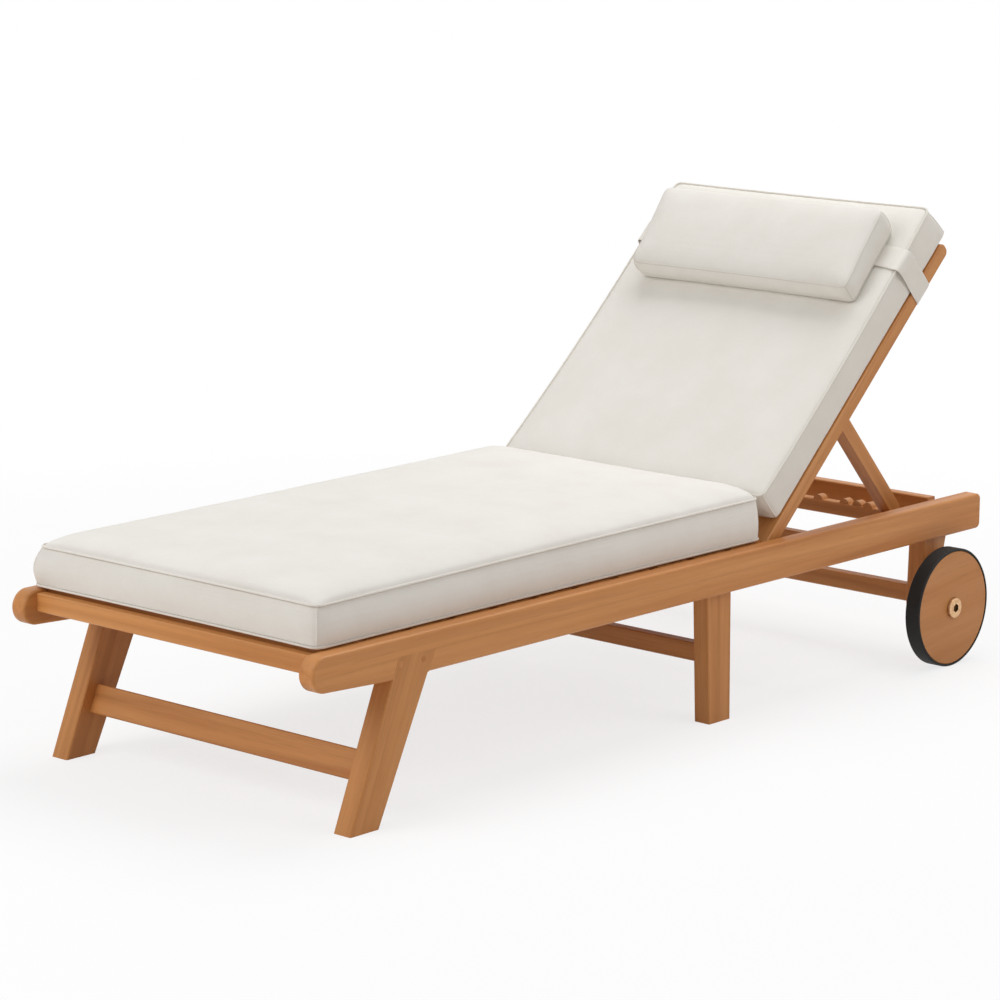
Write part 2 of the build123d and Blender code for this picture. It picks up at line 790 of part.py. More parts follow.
with BuildPart() as stile:
    with BuildSketch(back_side(stile_inner)) as stile_shape:
        with BuildLine():
            Polyline(
                (0, -stile_half), (stile_length, -stile_half), (stile_length, stile_half), (0, stile_half)
            )
            ThreePointArc((0, stile_half), (-stile_half, 0), (0, -stile_half))
        make_face()
        fillet(stile_shape.vertices().group_by(Axis.X)[-1], radius=stile_end_round)
    extrude(amount=stile_thick)
    chamfer(
        stile.edges().filter_by(Axis((0, 0, 0), (0, back_c, back_s))).group_by(Axis.X)[-1],
        length=board_ease,
    )
    for section, (start, breadth) in ((low_section, low_rail), (high_section, high_rail)):
        pocket = mortise(section, -stile_inner - tenon_length - fit_gap, stile_depth, breadth)
        add(mirror(pocket, about=Plane.YZ, mode=Mode.PRIVATE), mode=Mode.SUBTRACT)
    hinge_hole = rod(back_side(stile_inner), (0, 0), hinge_bolt_radius + axle_clearance, stile_thick)
    add(hinge_hole, mode=Mode.SUBTRACT)
    pivot_hole = rod(back_side(stile_inner), (prop_pivot, 0), pivot_radius + fit_gap, pivot_reach)
    add(pivot_hole, mode=Mode.SUBTRACT)
save_pair(stile, "back_stile")

with BuildPart() as back_bottom_rail:
    add(cross_board(low_section, stile_inner, stile_depth, back_rail_low_width).part)
    rabbet = (
        (back_slat_start, back_slat_low),
        (back_slat_start + 2 * back_slat_seat, back_slat_low),
        (back_slat_start + 2 * back_slat_seat, stile_depth),
        (back_slat_start, stile_depth),
    )
    add(bar(back_side(-back_slat_field / 2), back_slat_field, *rabbet), mode=Mode.SUBTRACT)
save(back_bottom_rail, "back_bottom_rail")

with BuildPart() as back_top_rail:
    add(cross_board(high_section, stile_inner, stile_depth, back_rail_high_width).part)
    rabbet = (
        (back_slat_end, back_slat_low),
        (back_slat_end - 2 * back_slat_seat, back_slat_low),
        (back_slat_end - 2 * back_slat_seat, stile_depth),
        (back_slat_end, stile_depth),
    )
    add(bar(back_side(-back_slat_field / 2), back_slat_field, *rabbet), mode=Mode.SUBTRACT)
save(back_top_rail, "back_top_rail")

back_slat_width = (back_slat_field - (back_slat_count - 1) * back_slat_gap) / back_slat_count
for number in range(back_slat_count):
    slat_x = -back_slat_field / 2 + back_slat_width / 2 + number * (back_slat_width + back_slat_gap)
    with BuildPart() as back_slat:
        with BuildSketch(back_face.offset(back_slat_low)):
            with Locations((slat_x, (back_slat_start + back_slat_end) / 2)):
                Rectangle(back_slat_width, back_slat_end - back_slat_start)
        extrude(amount=back_slat_thick)
    save(back_slat, f"back_slat_{number + 1}")

# Hinge bolts, each through a stile and a washer into its rail
with BuildPart() as hinge_bolt:
    hinge_at = (hinge_y, hinge_z)
    add(rod(side(stile_inner - side_play - hinge_head), hinge_at, hinge_head_radius, hinge_head))
    shank_start = stile_inner - side_play
    add(rod(side(shank_start), hinge_at, hinge_bolt_radius, rail_inner + hinge_reach - shank_start))
    with BuildSketch(side(stile_outer + side_play)):
        with Locations(hinge_at):
            Circle(hinge_head_radius)
    extrude(amount=stile_side_gap - side_play)
save_both(hinge_bolt, "hinge_bolts")

# Prop arms with round ends, and the tie let into both
with BuildPart() as prop_arm:
    with BuildSketch(prop_side(arm_inner)):
        with BuildLine():
            Line((0, arm_half), (prop_length, arm_half))
            ThreePointArc((prop_length, arm_half), (prop_length + arm_half, 0), (prop_length, -arm_half))
            Line((prop_length, -arm_half), (0, -arm_half))
            ThreePointArc((0, -arm_half), (-arm_half, 0), (0, arm_half))
        make_face()
    extrude(amount=arm_thick)
    add(rod(prop_side(arm_inner), (0, 0), pivot_radius + axle_clearance, arm_thick), mode=Mode.SUBTRACT)
    housing = (
        (tie_start, -arm_half),
        (tie_start + tie_width, -arm_half),
        (tie_start + tie_width, -arm_half + tie_thick),
        (tie_start, -arm_half + tie_thick),
    )
    add(bar(prop_side(arm_inner), tie_housing, *housing), mode=Mode.SUBTRACT)
save_pair(prop_arm, "prop_arm")

with BuildPart() as prop_tie:
    add(bar(prop_side(-arm_inner - tie_housing), 2 * (arm_inner + tie_housing), *housing))
save(prop_tie, "prop_tie")

# Pivot bolts from inside each arm into its stile, with a washer between the two
with BuildPart() as pivot_bolt:
    add(rod(prop_side(arm_inner - side_play - pivot_head), (0, 0), pivot_head_radius, pivot_head))
    shank_start = arm_inner - side_play
    add(rod(prop_side(shank_start), (0, 0), pivot_radius, stile_inner + pivot_reach - shank_start))
    add(rod(prop_side(arm_outer + side_play), (0, 0), pivot_head_radius, arm_stile_gap - side_play))
save_both(pivot_bolt, "prop_pivot_bolts")


def cushion(plane, half, taper, low, high, base, seam, crown, low_round, high_round):
    """A crowned box cushion: sides drawn in between the corners, ends rounded over, top crowned.

    The plane is the one that the cushion lies on, across first and then along. The taper is how much
    narrower each side is at the high end.
    """
    middle = (low + high) / 2
    high_half = half - taper
    waist = half - taper / 2 - cushion_draw
    with BuildPart() as plan:
        with BuildSketch(plane.offset(base)) as shape:
            with BuildLine():
                ThreePointArc((-half, low), (0, low + cushion_draw / 2), (half, low))
                ThreePointArc((half, low), (waist, middle), (high_half, high))
                ThreePointArc((high_half, high), (0, high - cushion_draw / 2), (-high_half, high))
                ThreePointArc((-high_half, high), (-waist, middle), (-half, low))
            make_face()
            fillet(shape.vertices(), radius=cushion_corner)
        extrude(amount=seam + crown)
    across = Plane(origin=plane.origin, x_dir=plane.x_dir, z_dir=-plane.y_dir)
    with BuildPart() as section:
        with BuildSketch(across.offset(-high - overrun)):
            with BuildLine():
                Polyline((-half, base + seam), (-half, base), (half, base), (half, base + seam))
                ThreePointArc((half, base + seam), (0, base + seam + crown), (-half, base + seam))
            make_face()
        extrude(amount=high - low + 2 * overrun)
    lengthwise = Plane(origin=plane.origin, x_dir=plane.y_dir, z_dir=plane.x_dir)
    with BuildPart() as profile:
        with BuildSketch(lengthwise.offset(-half)) as outline:
            with BuildLine():
                Polyline((low, base + seam), (low, base), (high, base), (high, base + seam))
                ThreePointArc((high, base + seam), (middle, base + seam + 3 * crown), (low, base + seam))
            make_face()
            fillet(outline.vertices().group_by(Axis.X)[0].sort_by(Axis.Y)[-1], radius=low_round)
            fillet(outline.vertices().group_by(Axis.X)[-1].sort_by(Axis.Y)[-1], radius=high_round)
        extrude(amount=2 * half)
    with BuildPart() as result:
        add(plan.part)
        add(section.part, mode=Mode.INTERSECT)
        add(profile.part, mode=Mode.INTERSECT)
    return result


seat_cushion = cushion(
    Plane.XY.move(Location((seat_cushion_aside, 0, 0))),
    rail_outer - seat_cushion_inset,
    0,
    front_end + seat_cushion_setback,
    hinge_y - seat_cushion_hinge_gap,
    rail_top + soft_gap,
    seat_cushion_seam,
    seat_cushion_crown,
    seat_end_round,
    seat_end_round,
)
save(seat_cushion, "seat_cushion")

back_cushion_base = stile_half + soft_gap
back_cushion_half = stile_outer - back_cushion_inset
back_cushion_high = stile_length + back_cushion_overhang
back_cushion = cushion(
    back_face,
    back_cushion_half,
    back_cushion_taper,
    back_cushion_low,
    back_cushion_high,
    back_cushion_base,
    back_cushion_seam,
    back_cushion_crown,
    back_cushion_low_round,
    back_cushion_high_round,
)
save(back_cushion, "back_cushion")

# The strap over the back cushion, round both stiles, and the pillow on it
pillow_high = back_cushion_high - pillow_setback
pillow_low = pillow_high - pillow_height
strap_low = pillow_low + strap_up_pillow
strap_high = strap_low + strap_width
back_seam_n = back_cushion_base + back_cushion_seam
back_top_n = back_seam_n + back_cushion_crown
strap_share = (strap_low - back_cushion_low) / (back_cushion_high - back_cushion_low)
strap_side = back_cushion_half - back_cushion_taper * strap_share + 2 * strap_gap
strap_rise = back_cushion_crown * (1 - (strap_side / back_cushion_half) ** 2)
strap_in_n = back_seam_n + strap_rise + strap_gap
wrap_outer = stile_outer + soft_gap
wrap_inner = stile_inner - soft_gap
wrap_low = -stile_half - soft_gap
strap_plane = Plane(
    origin=back_face.from_local_coords(Vector(0, strap_high, 0)),
    x_dir=back_face.x_dir,
    z_dir=-back_face.y_dir,
)
with BuildPart() as headrest_strap:
    with BuildSketch(strap_plane):
        with BuildLine():
            ThreePointArc(
                (-strap_side, strap_in_n), (0, back_top_n + strap_gap), (strap_side, strap_in_n)
            )
            Line((strap_side, strap_in_n), (strap_side + strap_thick, strap_in_n + strap_thick))
            ThreePointArc(
                (strap_side + strap_thick, strap_in_n + strap_thick),
                (0, back_top_n + strap_gap + strap_thick),
                (-strap_side - strap_thick, strap_in_n + strap_thick),
            )
            Line((-strap_side - strap_thick, strap_in_n + strap_thick), (-strap_side, strap_in_n))
        make_face()
        for hand in (-1, 1):
            with BuildLine():
                Polyline(
                    (hand * strap_side, strap_in_n),
                    (hand * (strap_side + strap_thick), strap_in_n + strap_thick),
                    (hand * (wrap_outer + strap_thick), stile_half),
                    (hand * (wrap_outer + strap_thick), wrap_low - strap_thick),
                    (hand * (wrap_inner - strap_thick), wrap_low - strap_thick),
                    (hand * (wrap_inner - strap_thick), stile_half),
                    (hand * wrap_inner, stile_half),
                    (hand * wrap_inner, wrap_low),
                    (hand * wrap_outer, wrap_low),
                    (hand * wrap_outer, stile_half),
                    close=True,
                )
            make_face()
    extrude(amount=strap_high - strap_low)
save(headrest_strap, "headrest_strap")

headrest_pillow = cushion(
    back_face.move(Location((pillow_aside, 0, 0))),
    back_cushion_half - pillow_inset,
    0,
    pillow_low,
    pillow_high,
    back_top_n + strap_gap + strap_thick + soft_gap,
    pillow_side,
    pillow_crown,
    pillow_round,
    pillow_round,
)
save(headrest_pillow, "headrest_pillow")
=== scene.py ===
# The looks of the teak sun lounger: oiled teak, piped canvas cushions, a strapped pillow, rubber tyres.
import json
from math import cos, pi, radians, sin

import bmesh
import bpy
import numpy as np
from mathutils import Matrix, Vector
from mathutils import noise
from mathutils.bvhtree import BVHTree
from mathutils.kdtree import KDTree


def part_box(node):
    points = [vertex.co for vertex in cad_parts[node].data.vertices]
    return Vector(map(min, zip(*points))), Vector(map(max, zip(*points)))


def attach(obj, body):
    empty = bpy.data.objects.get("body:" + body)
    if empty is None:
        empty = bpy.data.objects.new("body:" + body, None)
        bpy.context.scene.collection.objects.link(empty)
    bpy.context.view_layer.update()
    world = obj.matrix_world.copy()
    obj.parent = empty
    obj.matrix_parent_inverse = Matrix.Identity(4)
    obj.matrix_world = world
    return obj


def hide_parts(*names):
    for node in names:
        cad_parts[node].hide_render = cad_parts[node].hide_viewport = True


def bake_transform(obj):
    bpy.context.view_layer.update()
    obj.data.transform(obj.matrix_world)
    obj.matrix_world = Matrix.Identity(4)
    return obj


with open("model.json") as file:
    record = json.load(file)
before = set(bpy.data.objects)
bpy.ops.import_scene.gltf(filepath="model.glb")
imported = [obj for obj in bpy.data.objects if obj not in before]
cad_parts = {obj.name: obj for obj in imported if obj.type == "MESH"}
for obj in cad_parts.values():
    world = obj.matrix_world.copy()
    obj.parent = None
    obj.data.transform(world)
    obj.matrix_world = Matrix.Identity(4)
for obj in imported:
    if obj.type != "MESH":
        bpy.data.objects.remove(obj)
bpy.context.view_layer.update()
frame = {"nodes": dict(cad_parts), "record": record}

MM = 0.001
scene = bpy.context.scene
nodes = frame["nodes"]

# The back's own axes at rest: along it from the hinge, and out of its face
BACK_ANGLE = radians(43.33)
HINGE = Vector((0.0, 0.3283, 0.320))
ALONG_BACK = Vector((0.0, cos(BACK_ANGLE), sin(BACK_ANGLE)))
OUT_OF_BACK = Vector((0.0, -sin(BACK_ANGLE), cos(BACK_ANGLE)))
PROP_ANGLE = radians(-47.9)
ALONG_PROP = Vector((0.0, cos(PROP_ANGLE), sin(PROP_ANGLE)))
ALONG_X = Vector((1, 0, 0))
ALONG_Y = Vector((0, 1, 0))

# Camera at the photograph's viewpoint
CAMERA_PLACE = Vector((4.6618, -5.3247, 1.8471))
CAMERA_YAW = 0.727
CAMERA_PITCH = -0.200
CAMERA_ROLL = 0.007
SENSOR = 36.0
FOCAL_PIXELS = 3667.8
FRAME_PIXELS = 1000.0


def make_camera():
    """The camera, from its place, yaw, pitch and roll."""
    forward = Vector(
        (-sin(CAMERA_YAW) * cos(CAMERA_PITCH), cos(CAMERA_YAW) * cos(CAMERA_PITCH), sin(CAMERA_PITCH))
    )
    right = forward.cross(Vector((0, 0, 1))).normalized()
    up = right.cross(forward)
    rolled_right = right * cos(CAMERA_ROLL) + up * sin(CAMERA_ROLL)
    rolled_up = up * cos(CAMERA_ROLL) - right * sin(CAMERA_ROLL)
    data = bpy.data.cameras.new("camera")
    data.sensor_width = SENSOR
    data.lens = FOCAL_PIXELS / FRAME_PIXELS * SENSOR
    data.clip_end = 100
    camera = bpy.data.objects.new("camera", data)
    turn = Matrix((rolled_right, rolled_up, -forward)).transposed()
    camera.matrix_world = Matrix.Translation(CAMERA_PLACE) @ turn.to_4x4()
    scene.collection.objects.link(camera)
    scene.camera = camera


# Node graph helpers
def new_material(name):
    """A new material, with its node tree and its Principled shader."""
    material = bpy.data.materials.new(name)
    material.use_nodes = True
    tree = material.node_tree
    shader = next(n for n in tree.nodes if n.type == "BSDF_PRINCIPLED")
    return material, tree, shader


def add_node(tree, kind, inputs=None, **settings):
    """A node of a kind, with its settings and the values or links of its inputs."""
    node = tree.nodes.new(kind)
    for key, value in settings.items():
        setattr(node, key, value)
    for key, value in (inputs or {}).items():
        if isinstance(value, bpy.types.NodeSocket):
            tree.links.new(value, node.inputs[key])
        else:
            node.inputs[key].default_value = value
    return node


def linear(red, green, blue):
    """A colour given as it looks on screen, in 0 to 255, as a linear RGBA, by the sRGB curve."""
    def convert(value):
        value = value / 255
        return value / 12.92 if value <= 0.04045 else ((value + 0.055) / 1.055) ** 2.4
    return (convert(red), convert(green), convert(blue), 1.0)


def ramp(tree, fac, *stops):
    """A colour ramp over fac, from (place, colour) stops."""
    node = add_node(tree, "ShaderNodeValToRGB", {"Fac": fac})
    elements = node.color_ramp.elements
    while len(elements) < len(stops):
        elements.new(0.5)
    for element, (place, colour) in zip(elements, stops):
        element.position = place
        element.color = colour
    return node.outputs["Color"]


def mix(tree, blend, fac, first, second):
    """The mix of two colours."""
    node = add_node(tree, "ShaderNodeMix", data_type="RGBA", blend_type=blend)
    for key, value in ((0, fac), (6, first), (7, second)):
        if isinstance(value, bpy.types.NodeSocket):
            tree.links.new(value, node.inputs[key])
        else:
            node.inputs[key].default_value = value
    return node.outputs[2]


# Teak
TEAK_DARK = linear(180, 116, 59)
TEAK_MID = linear(199, 135, 75)
TEAK_LIGHT = linear(211, 149, 89)
WHITE = (1.0, 1.0, 1.0, 1.0)
DARK_BAND = (0.74, 0.66, 0.58, 1)
DARK_PORE = (0.66, 0.56, 0.48, 1)
END_GRAIN = (1.0, 0.97, 0.95, 1)
BAND_STRENGTH = 0.34
PORE_STRENGTH = 0.30

# The figure's scale along the grain beside that across it, the pores' one, and the waves in the figure
FIGURE_STRETCH = 0.035
PORE_STRETCH = 0.03
FIGURE_WAVES = 62.0

# How far a seed moves the figure, and its most effect on a piece's tone and warmth
SEED_SHIFT = 3
TONE_SPREAD = 0.045
WARMTH_SPREAD = 0.02

# Above this height the front legs show the wood of the side rails that they are let into
LAP_TOP = 302 * MM
LAP_EDGE = 0.4 * MM


def teak_colour(tree, coordinates, grain, seed, shade, warmth, calm):
    """The colour of oiled teak with its grain along a direction, and its streaks and pores.

    The seed moves the figure and the tone. Shade and warmth are beside plain teak, and calm is the
    share of the figure that is left out.
    """
    rng = np.random.default_rng(seed)
    grain = grain.normalized()
    turn = grain.rotation_difference(Vector((1, 0, 0))).to_euler()
    shift = tuple(rng.uniform(-SEED_SHIFT, SEED_SHIFT, 3))
    aligned = add_node(
        tree,
        "ShaderNodeMapping",
        {"Vector": coordinates.outputs["Object"], "Rotation": turn, "Location": shift},
    ).outputs["Vector"]

    def stretched(along, scale, detail, roughness=0.5, distortion=0.0):
        """Noise drawn out along the grain."""
        vector = add_node(
            tree, "ShaderNodeMapping", {"Vector": aligned, "Scale": (along, 1.0, 1.0)}
        ).outputs["Vector"]
        inputs = {"Vector": vector, "Scale": scale, "Detail": detail, "Roughness": roughness}
        inputs["Distortion"] = distortion
        return add_node(tree, "ShaderNodeTexNoise", inputs).outputs["Fac"]

    figure = stretched(FIGURE_STRETCH, scale=9.0, detail=2.0, distortion=0.2)
    waves = add_node(tree, "ShaderNodeMath", {0: figure, 1: FIGURE_WAVES}, operation="MULTIPLY")
    wave = add_node(tree, "ShaderNodeMath", {0: waves.outputs[0]}, operation="SINE")
    bands = add_node(
        tree,
        "ShaderNodeMapRange",
        {"Value": wave.outputs[0], "From Min": -1.0, "From Max": 1.0},
    ).outputs[0]
    streaks = stretched(FIGURE_STRETCH, scale=30.0, detail=5.0, roughness=0.55)
    pores = stretched(PORE_STRETCH, scale=420.0, detail=3.0, roughness=0.6)
    base = ramp(tree, streaks, (0.32, TEAK_DARK), (0.5, TEAK_MID), (0.7, TEAK_LIGHT))
    if calm:
        base = mix(tree, "MIX", calm, base, TEAK_MID)
    dark_band = ramp(tree, bands, (0.0, DARK_BAND), (0.45, WHITE))
    shaded = mix(tree, "MULTIPLY", BAND_STRENGTH * (1 - calm), base, dark_band)
    dark_pore = ramp(tree, pores, (0.33, DARK_PORE), (0.45, WHITE))
    grained = mix(tree, "MULTIPLY", PORE_STRENGTH, shaded, dark_pore)
    facing = add_node(
        tree,
        "ShaderNodeVectorMath",
        {0: coordinates.outputs["Normal"], 1: tuple(grain)},
        operation="DOT_PRODUCT",
    ).outputs["Value"]
    endwise = add_node(tree, "ShaderNodeMath", {0: facing}, operation="ABSOLUTE").outputs[0]
    end_grain = add_node(
        tree, "ShaderNodeMapRange", {"Value": endwise, "From Min": 0.75, "From Max": 0.97}
    ).outputs[0]
    ended = mix(tree, "MULTIPLY", end_grain, grained, END_GRAIN)
    tone = shade * (1.0 + float(rng.uniform(-TONE_SPREAD, TONE_SPREAD)))
    warm = warmth * (1.0 + float(rng.uniform(-WARMTH_SPREAD, WARMTH_SPREAD)))
    toned = mix(tree, "MULTIPLY", 1.0, ended, (tone, tone * warm, tone * warm * warm, 1.0))
    return toned, streaks, pores


def teak(name, grain, seed, looks, over=None):
    """Oiled teak. Over is the seed of the rail that a leg is let into, whose wood hides its top."""
    material, tree, shader = new_material(name)
    coordinates = add_node(tree, "ShaderNodeTexCoord")
    toned, streaks, pores = teak_colour(tree, coordinates, grain, seed, *looks)
    if over:
        rail = teak_colour(tree, coordinates, ALONG_Y, over, *looks_of("side_rail"))[0]
        height = add_node(tree, "ShaderNodeSeparateXYZ", {0: coordinates.outputs["Object"]}).outputs["Z"]
        above = add_node(
            tree,
            "ShaderNodeMapRange",
            {"Value": height, "From Min": LAP_TOP - LAP_EDGE, "From Max": LAP_TOP + LAP_EDGE},
        ).outputs[0]
        toned = mix(tree, "MIX", above, toned, rail)
    tree.links.new(toned, shader.inputs["Base Color"])
    rough = add_node(
        tree,
        "ShaderNodeMapRange",
        {"Value": streaks, "From Min": 0.3, "From Max": 0.7, "To Min": 0.52, "To Max": 0.40},
    )
    tree.links.new(rough.outputs[0], shader.inputs["Roughness"])
    height = add_node(tree, "ShaderNodeMath", {0: pores, 1: streaks}, operation="ADD")
    bump = add_node(
        tree, "ShaderNodeBump", {"Height": height.outputs[0], "Strength": 0.2, "Distance": 0.0005}
    )
    tree.links.new(bump.outputs[0], shader.inputs["Normal"])
    shader.inputs["Specular IOR Level"].default_value = 0.4
    return material


# Canvas
THREAD_PITCH = 1.1 * MM
WAVE_TURN = 6.3
SLUB_TINT = (0.72, 0.70, 0.66, 1)
SLUB_STRENGTH = 0.16


def canvas(name, colour, shade, along=ALONG_Y, painted_flank_shade=None):
    """Woven outdoor canvas: crossed threads in the bump, a slightly uneven colour and a soft sheen.

    The flank shade is painted shade: a darker tone on a piping cord's sides, which face the panels it is
    sewn between.
    """
    material, tree, shader = new_material(name)
    place = add_node(tree, "ShaderNodeTexCoord").outputs["Object"]
    turn = along.rotation_difference(ALONG_Y).to_euler()
    laid = add_node(tree, "ShaderNodeMapping", {"Vector": place, "Rotation": turn}).outputs["Vector"]
    cloudy = add_node(
        tree, "ShaderNodeTexNoise", {"Vector": laid, "Scale": 9.0, "Detail": 5.0, "Roughness": 0.6}
    ).outputs["Fac"]
    slub = add_node(
        tree, "ShaderNodeTexNoise", {"Vector": laid, "Scale": 900.0, "Detail": 2.0}
    ).outputs["Fac"]
    base = ramp(tree, cloudy, (0.35, shade), (0.65, colour))
    slubs = ramp(tree, slub, (0.30, SLUB_TINT), (0.62, WHITE))
    speckled = mix(tree, "MULTIPLY", SLUB_STRENGTH, base, slubs)
    if painted_flank_shade:
        # Painted shade: the cord is darker where it turns away from the outside, towards the panels
        proud = add_node(tree, "ShaderNodeAttribute", attribute_name="proud").outputs["Fac"]
        speckled = mix(tree, "MULTIPLY", 1.0, speckled, ramp(tree, proud, (0.35, painted_flank_shade), (0.75, WHITE)))
    tree.links.new(speckled, shader.inputs["Base Color"])
    threads = []
    thread = {"Vector": laid, "Scale": 1 / THREAD_PITCH / WAVE_TURN}
    thread.update({"Distortion": 0.4, "Detail": 1.0, "Detail Scale": 2.0})
    for direction in ("X", "Y", "Z"):
        wave = add_node(tree, "ShaderNodeTexWave", thread, wave_type="BANDS", bands_direction=direction)
        threads.append(wave.outputs["Fac"])
    cross = add_node(tree, "ShaderNodeMath", {0: threads[0], 1: threads[1]}, operation="ADD")
    weave = add_node(tree, "ShaderNodeMath", {0: cross.outputs[0], 1: threads[2]}, operation="ADD")
    lumpy = add_node(tree, "ShaderNodeMath", {0: weave.outputs[0], 1: slub}, operation="ADD")
    bump = add_node(
        tree, "ShaderNodeBump", {"Height": lumpy.outputs[0], "Strength": 0.35, "Distance": 0.00025}
    )
    tree.links.new(bump.outputs[0], shader.inputs["Normal"])
    shader.inputs["Roughness"].default_value = 0.9
    shader.inputs["Specular IOR Level"].default_value = 0.2
    shader.inputs["Sheen Weight"].default_value = 0.12
    shader.inputs["Sheen Roughness"].default_value = 0.5
    return material


def rubber(name):
    """Matte black rubber with a fine moulded grain."""
    material, tree, shader = new_material(name)
    place = add_node(tree, "ShaderNodeTexCoord").outputs["Object"]
    grain = add_node(
        tree, "ShaderNodeTexNoise", {"Vector": place, "Scale": 700.0, "Detail": 3.0}
    ).outputs["Fac"]
    dust = add_node(
        tree, "ShaderNodeTexNoise", {"Vector": place, "Scale": 30.0, "Detail": 4.0}
    ).outputs["Fac"]
    colour = ramp(tree, dust, (0.3, linear(17, 16, 15)), (0.75, linear(28, 26, 24)))
    tree.links.new(colour, shader.inputs["Base Color"])
    bump = add_node(tree, "ShaderNodeBump", {"Height": grain, "Strength": 0.3, "Distance": 0.0003})
    tree.links.new(bump.outputs[0], shader.inputs["Normal"])
    shader.inputs["Roughness"].default_value = 0.66
    shader.inputs["Specular IOR Level"].default_value = 0.32
    return material


ROUGHNESS_SPREAD = 0.08


def metal(name, colour, dull, roughness):
    """Satin metal with faint marks and a little tarnish."""
    material, tree, shader = new_material(name)
    place = add_node(tree, "ShaderNodeTexCoord").outputs["Object"]
    marks = add_node(
        tree, "ShaderNodeTexNoise", {"Vector": place, "Scale": 160.0, "Detail": 4.0}
    ).outputs["Fac"]
    tone = ramp(tree, marks, (0.3, dull), (0.7, colour))
    tree.links.new(tone, shader.inputs["Base Color"])
    shader.inputs["Metallic"].default_value = 1.0
    varied = add_node(
        tree,
        "ShaderNodeMapRange",
        {"Value": marks, "To Min": roughness - ROUGHNESS_SPREAD, "To Max": roughness + ROUGHNESS_SPREAD},
    )
    tree.links.new(varied.outputs[0], shader.inputs["Roughness"])
    return material


def plastic(name, colour, spot):
    """Moulded nylon."""
    material, tree, shader = new_material(name)
    place = add_node(tree, "ShaderNodeTexCoord").outputs["Object"]
    grain = add_node(
        tree, "ShaderNodeTexNoise", {"Vector": place, "Scale": 250.0, "Detail": 3.0}
    ).outputs["Fac"]
    tree.links.new(ramp(tree, grain, (0.3, spot), (0.7, colour)), shader.inputs["Base Color"])
    shader.inputs["Roughness"].default_value = 0.5
    return material


# The grain's direction, by how the name of a wooden node begins
UP_FRONT_LEG = Vector((0, 0.108, 0.262))
UP_LEG = Vector((0, -0.01, 0.262))
ACROSS_WHEEL = Vector((0, 0.99, 0.10))
GRAINS = (
    ("side_rail", ALONG_Y),
    ("slat_ledger", ALONG_Y),
    ("rack_left", ALONG_Y),
    ("rack_right", ALONG_Y),
    ("front_leg", UP_FRONT_LEG),
    ("mid_leg", UP_LEG),
    ("rear_leg", UP_LEG),
    ("wheel_disc", ACROSS_WHEEL),
    ("back_stile", ALONG_BACK),
    ("back_slat", ALONG_BACK),
    ("prop_arm", ALONG_PROP),
)


def grain_of(name):
    """The way the grain runs in a wooden node: along its length."""
    for start, grain in GRAINS:
        if name.startswith(start):
            return grain
    return ALONG_X


# Shade, warmth and calm, by how the name of a wooden node begins
LOOKS = (
    ("wheel_disc", (0.92, 0.965, 0.7)),
    ("front_leg", (0.98, 1.0, 0.2)),
    # Painted light: the front apron is lighter, as if lit more from the front
    ("front_apron", (1.07, 1.0, 0.2)),
    # Painted light: the middle legs are lighter, against the shadow of the rails over them
    ("mid_leg", (1.05, 1.0, 0.2)),
    ("rear_leg", (0.98, 1.0, 0.2)),
    ("rack", (0.96, 1.0, 0.2)),
    ("wood_plugs", (0.93, 0.97, 0.3)),
    ("prop", (1.0, 0.99, 0.2)),
    ("side_rail", (0.98, 0.99, 0.1)),
)
PLAIN_LOOKS = (1.0, 1.0, 0.1)


def looks_of(name):
    """A wooden node's shade and warmth beside plain teak, and how calm its figure is."""
    for start, looks in LOOKS:
        if name.startswith(start):
            return looks
    return PLAIN_LOOKS


def dress_nodes():
    """Gives each carried-over node its material, and returns the brass."""
    slots = {part["node"]: part["material_slot"] for part in frame["record"]["subparts"]}
    shared = {
        "tyre_rubber": rubber("tyre_rubber"),
        "brass_hardware": metal("pale_brass", linear(232, 194, 152), linear(204, 162, 118), 0.40),
        "steel_hardware": metal("satin_steel", linear(200, 198, 194), linear(160, 158, 155), 0.35),
        "bush_plastic": plastic("black_nylon", linear(40, 40, 40), linear(28, 28, 28)),
    }
    seeds = {name: number + 1 for number, name in enumerate(sorted(nodes))}
    for name, node in sorted(nodes.items()):
        slot = slots[name]
        if slot == "teak":
            let_in = name.startswith("front_leg")
            over = seeds[name.replace("front_leg", "side_rail")] if let_in else None
            material = teak(f"teak_{name}", grain_of(name), seeds[name], looks_of(name), over)
        elif slot in shared:
            material = shared[slot]
        else:
            continue
        node.data.materials.clear()
        node.data.materials.append(material)
    return shared["brass_hardware"]


# Cushions: the least spans of a panel and of a border, how much finer the border's spans are, and how
# much the points crowd towards the ends
LEAST_SPANS = 8
LEAST_BORDER_SPANS = 5
BORDER_FINER = 1.6
END_CROWDING = 0.33

# The edge of the underside is rounded over this share of the belly, and within this share of its
# width and length it lies flat
BELLY_ROUND_SHARE = 0.6
RESTING_SHARE = 0.98

# The border stands out less at its corners, by this share and over this reach
CORNER_HOLD_SHARE = 0.45
CORNER_REACH = 20 * MM
FULL_CORNER_REACH = 60 * MM


def spread(count):
    """Places from -1 to 1, closer together near the ends."""
    places = [-1 + 2 * k / count for k in range(count + 1)]
    return [p * (1 + END_CROWDING - END_CROWDING * p * p) for p in places]


def fullness(distance, reach):
    """How far a panel has swelled, from 0 at its edge to 1 at a distance of its reach."""
    share = 1 - min(1.0, max(0.0, distance) / reach)
    return (1 - share * share) ** 0.5


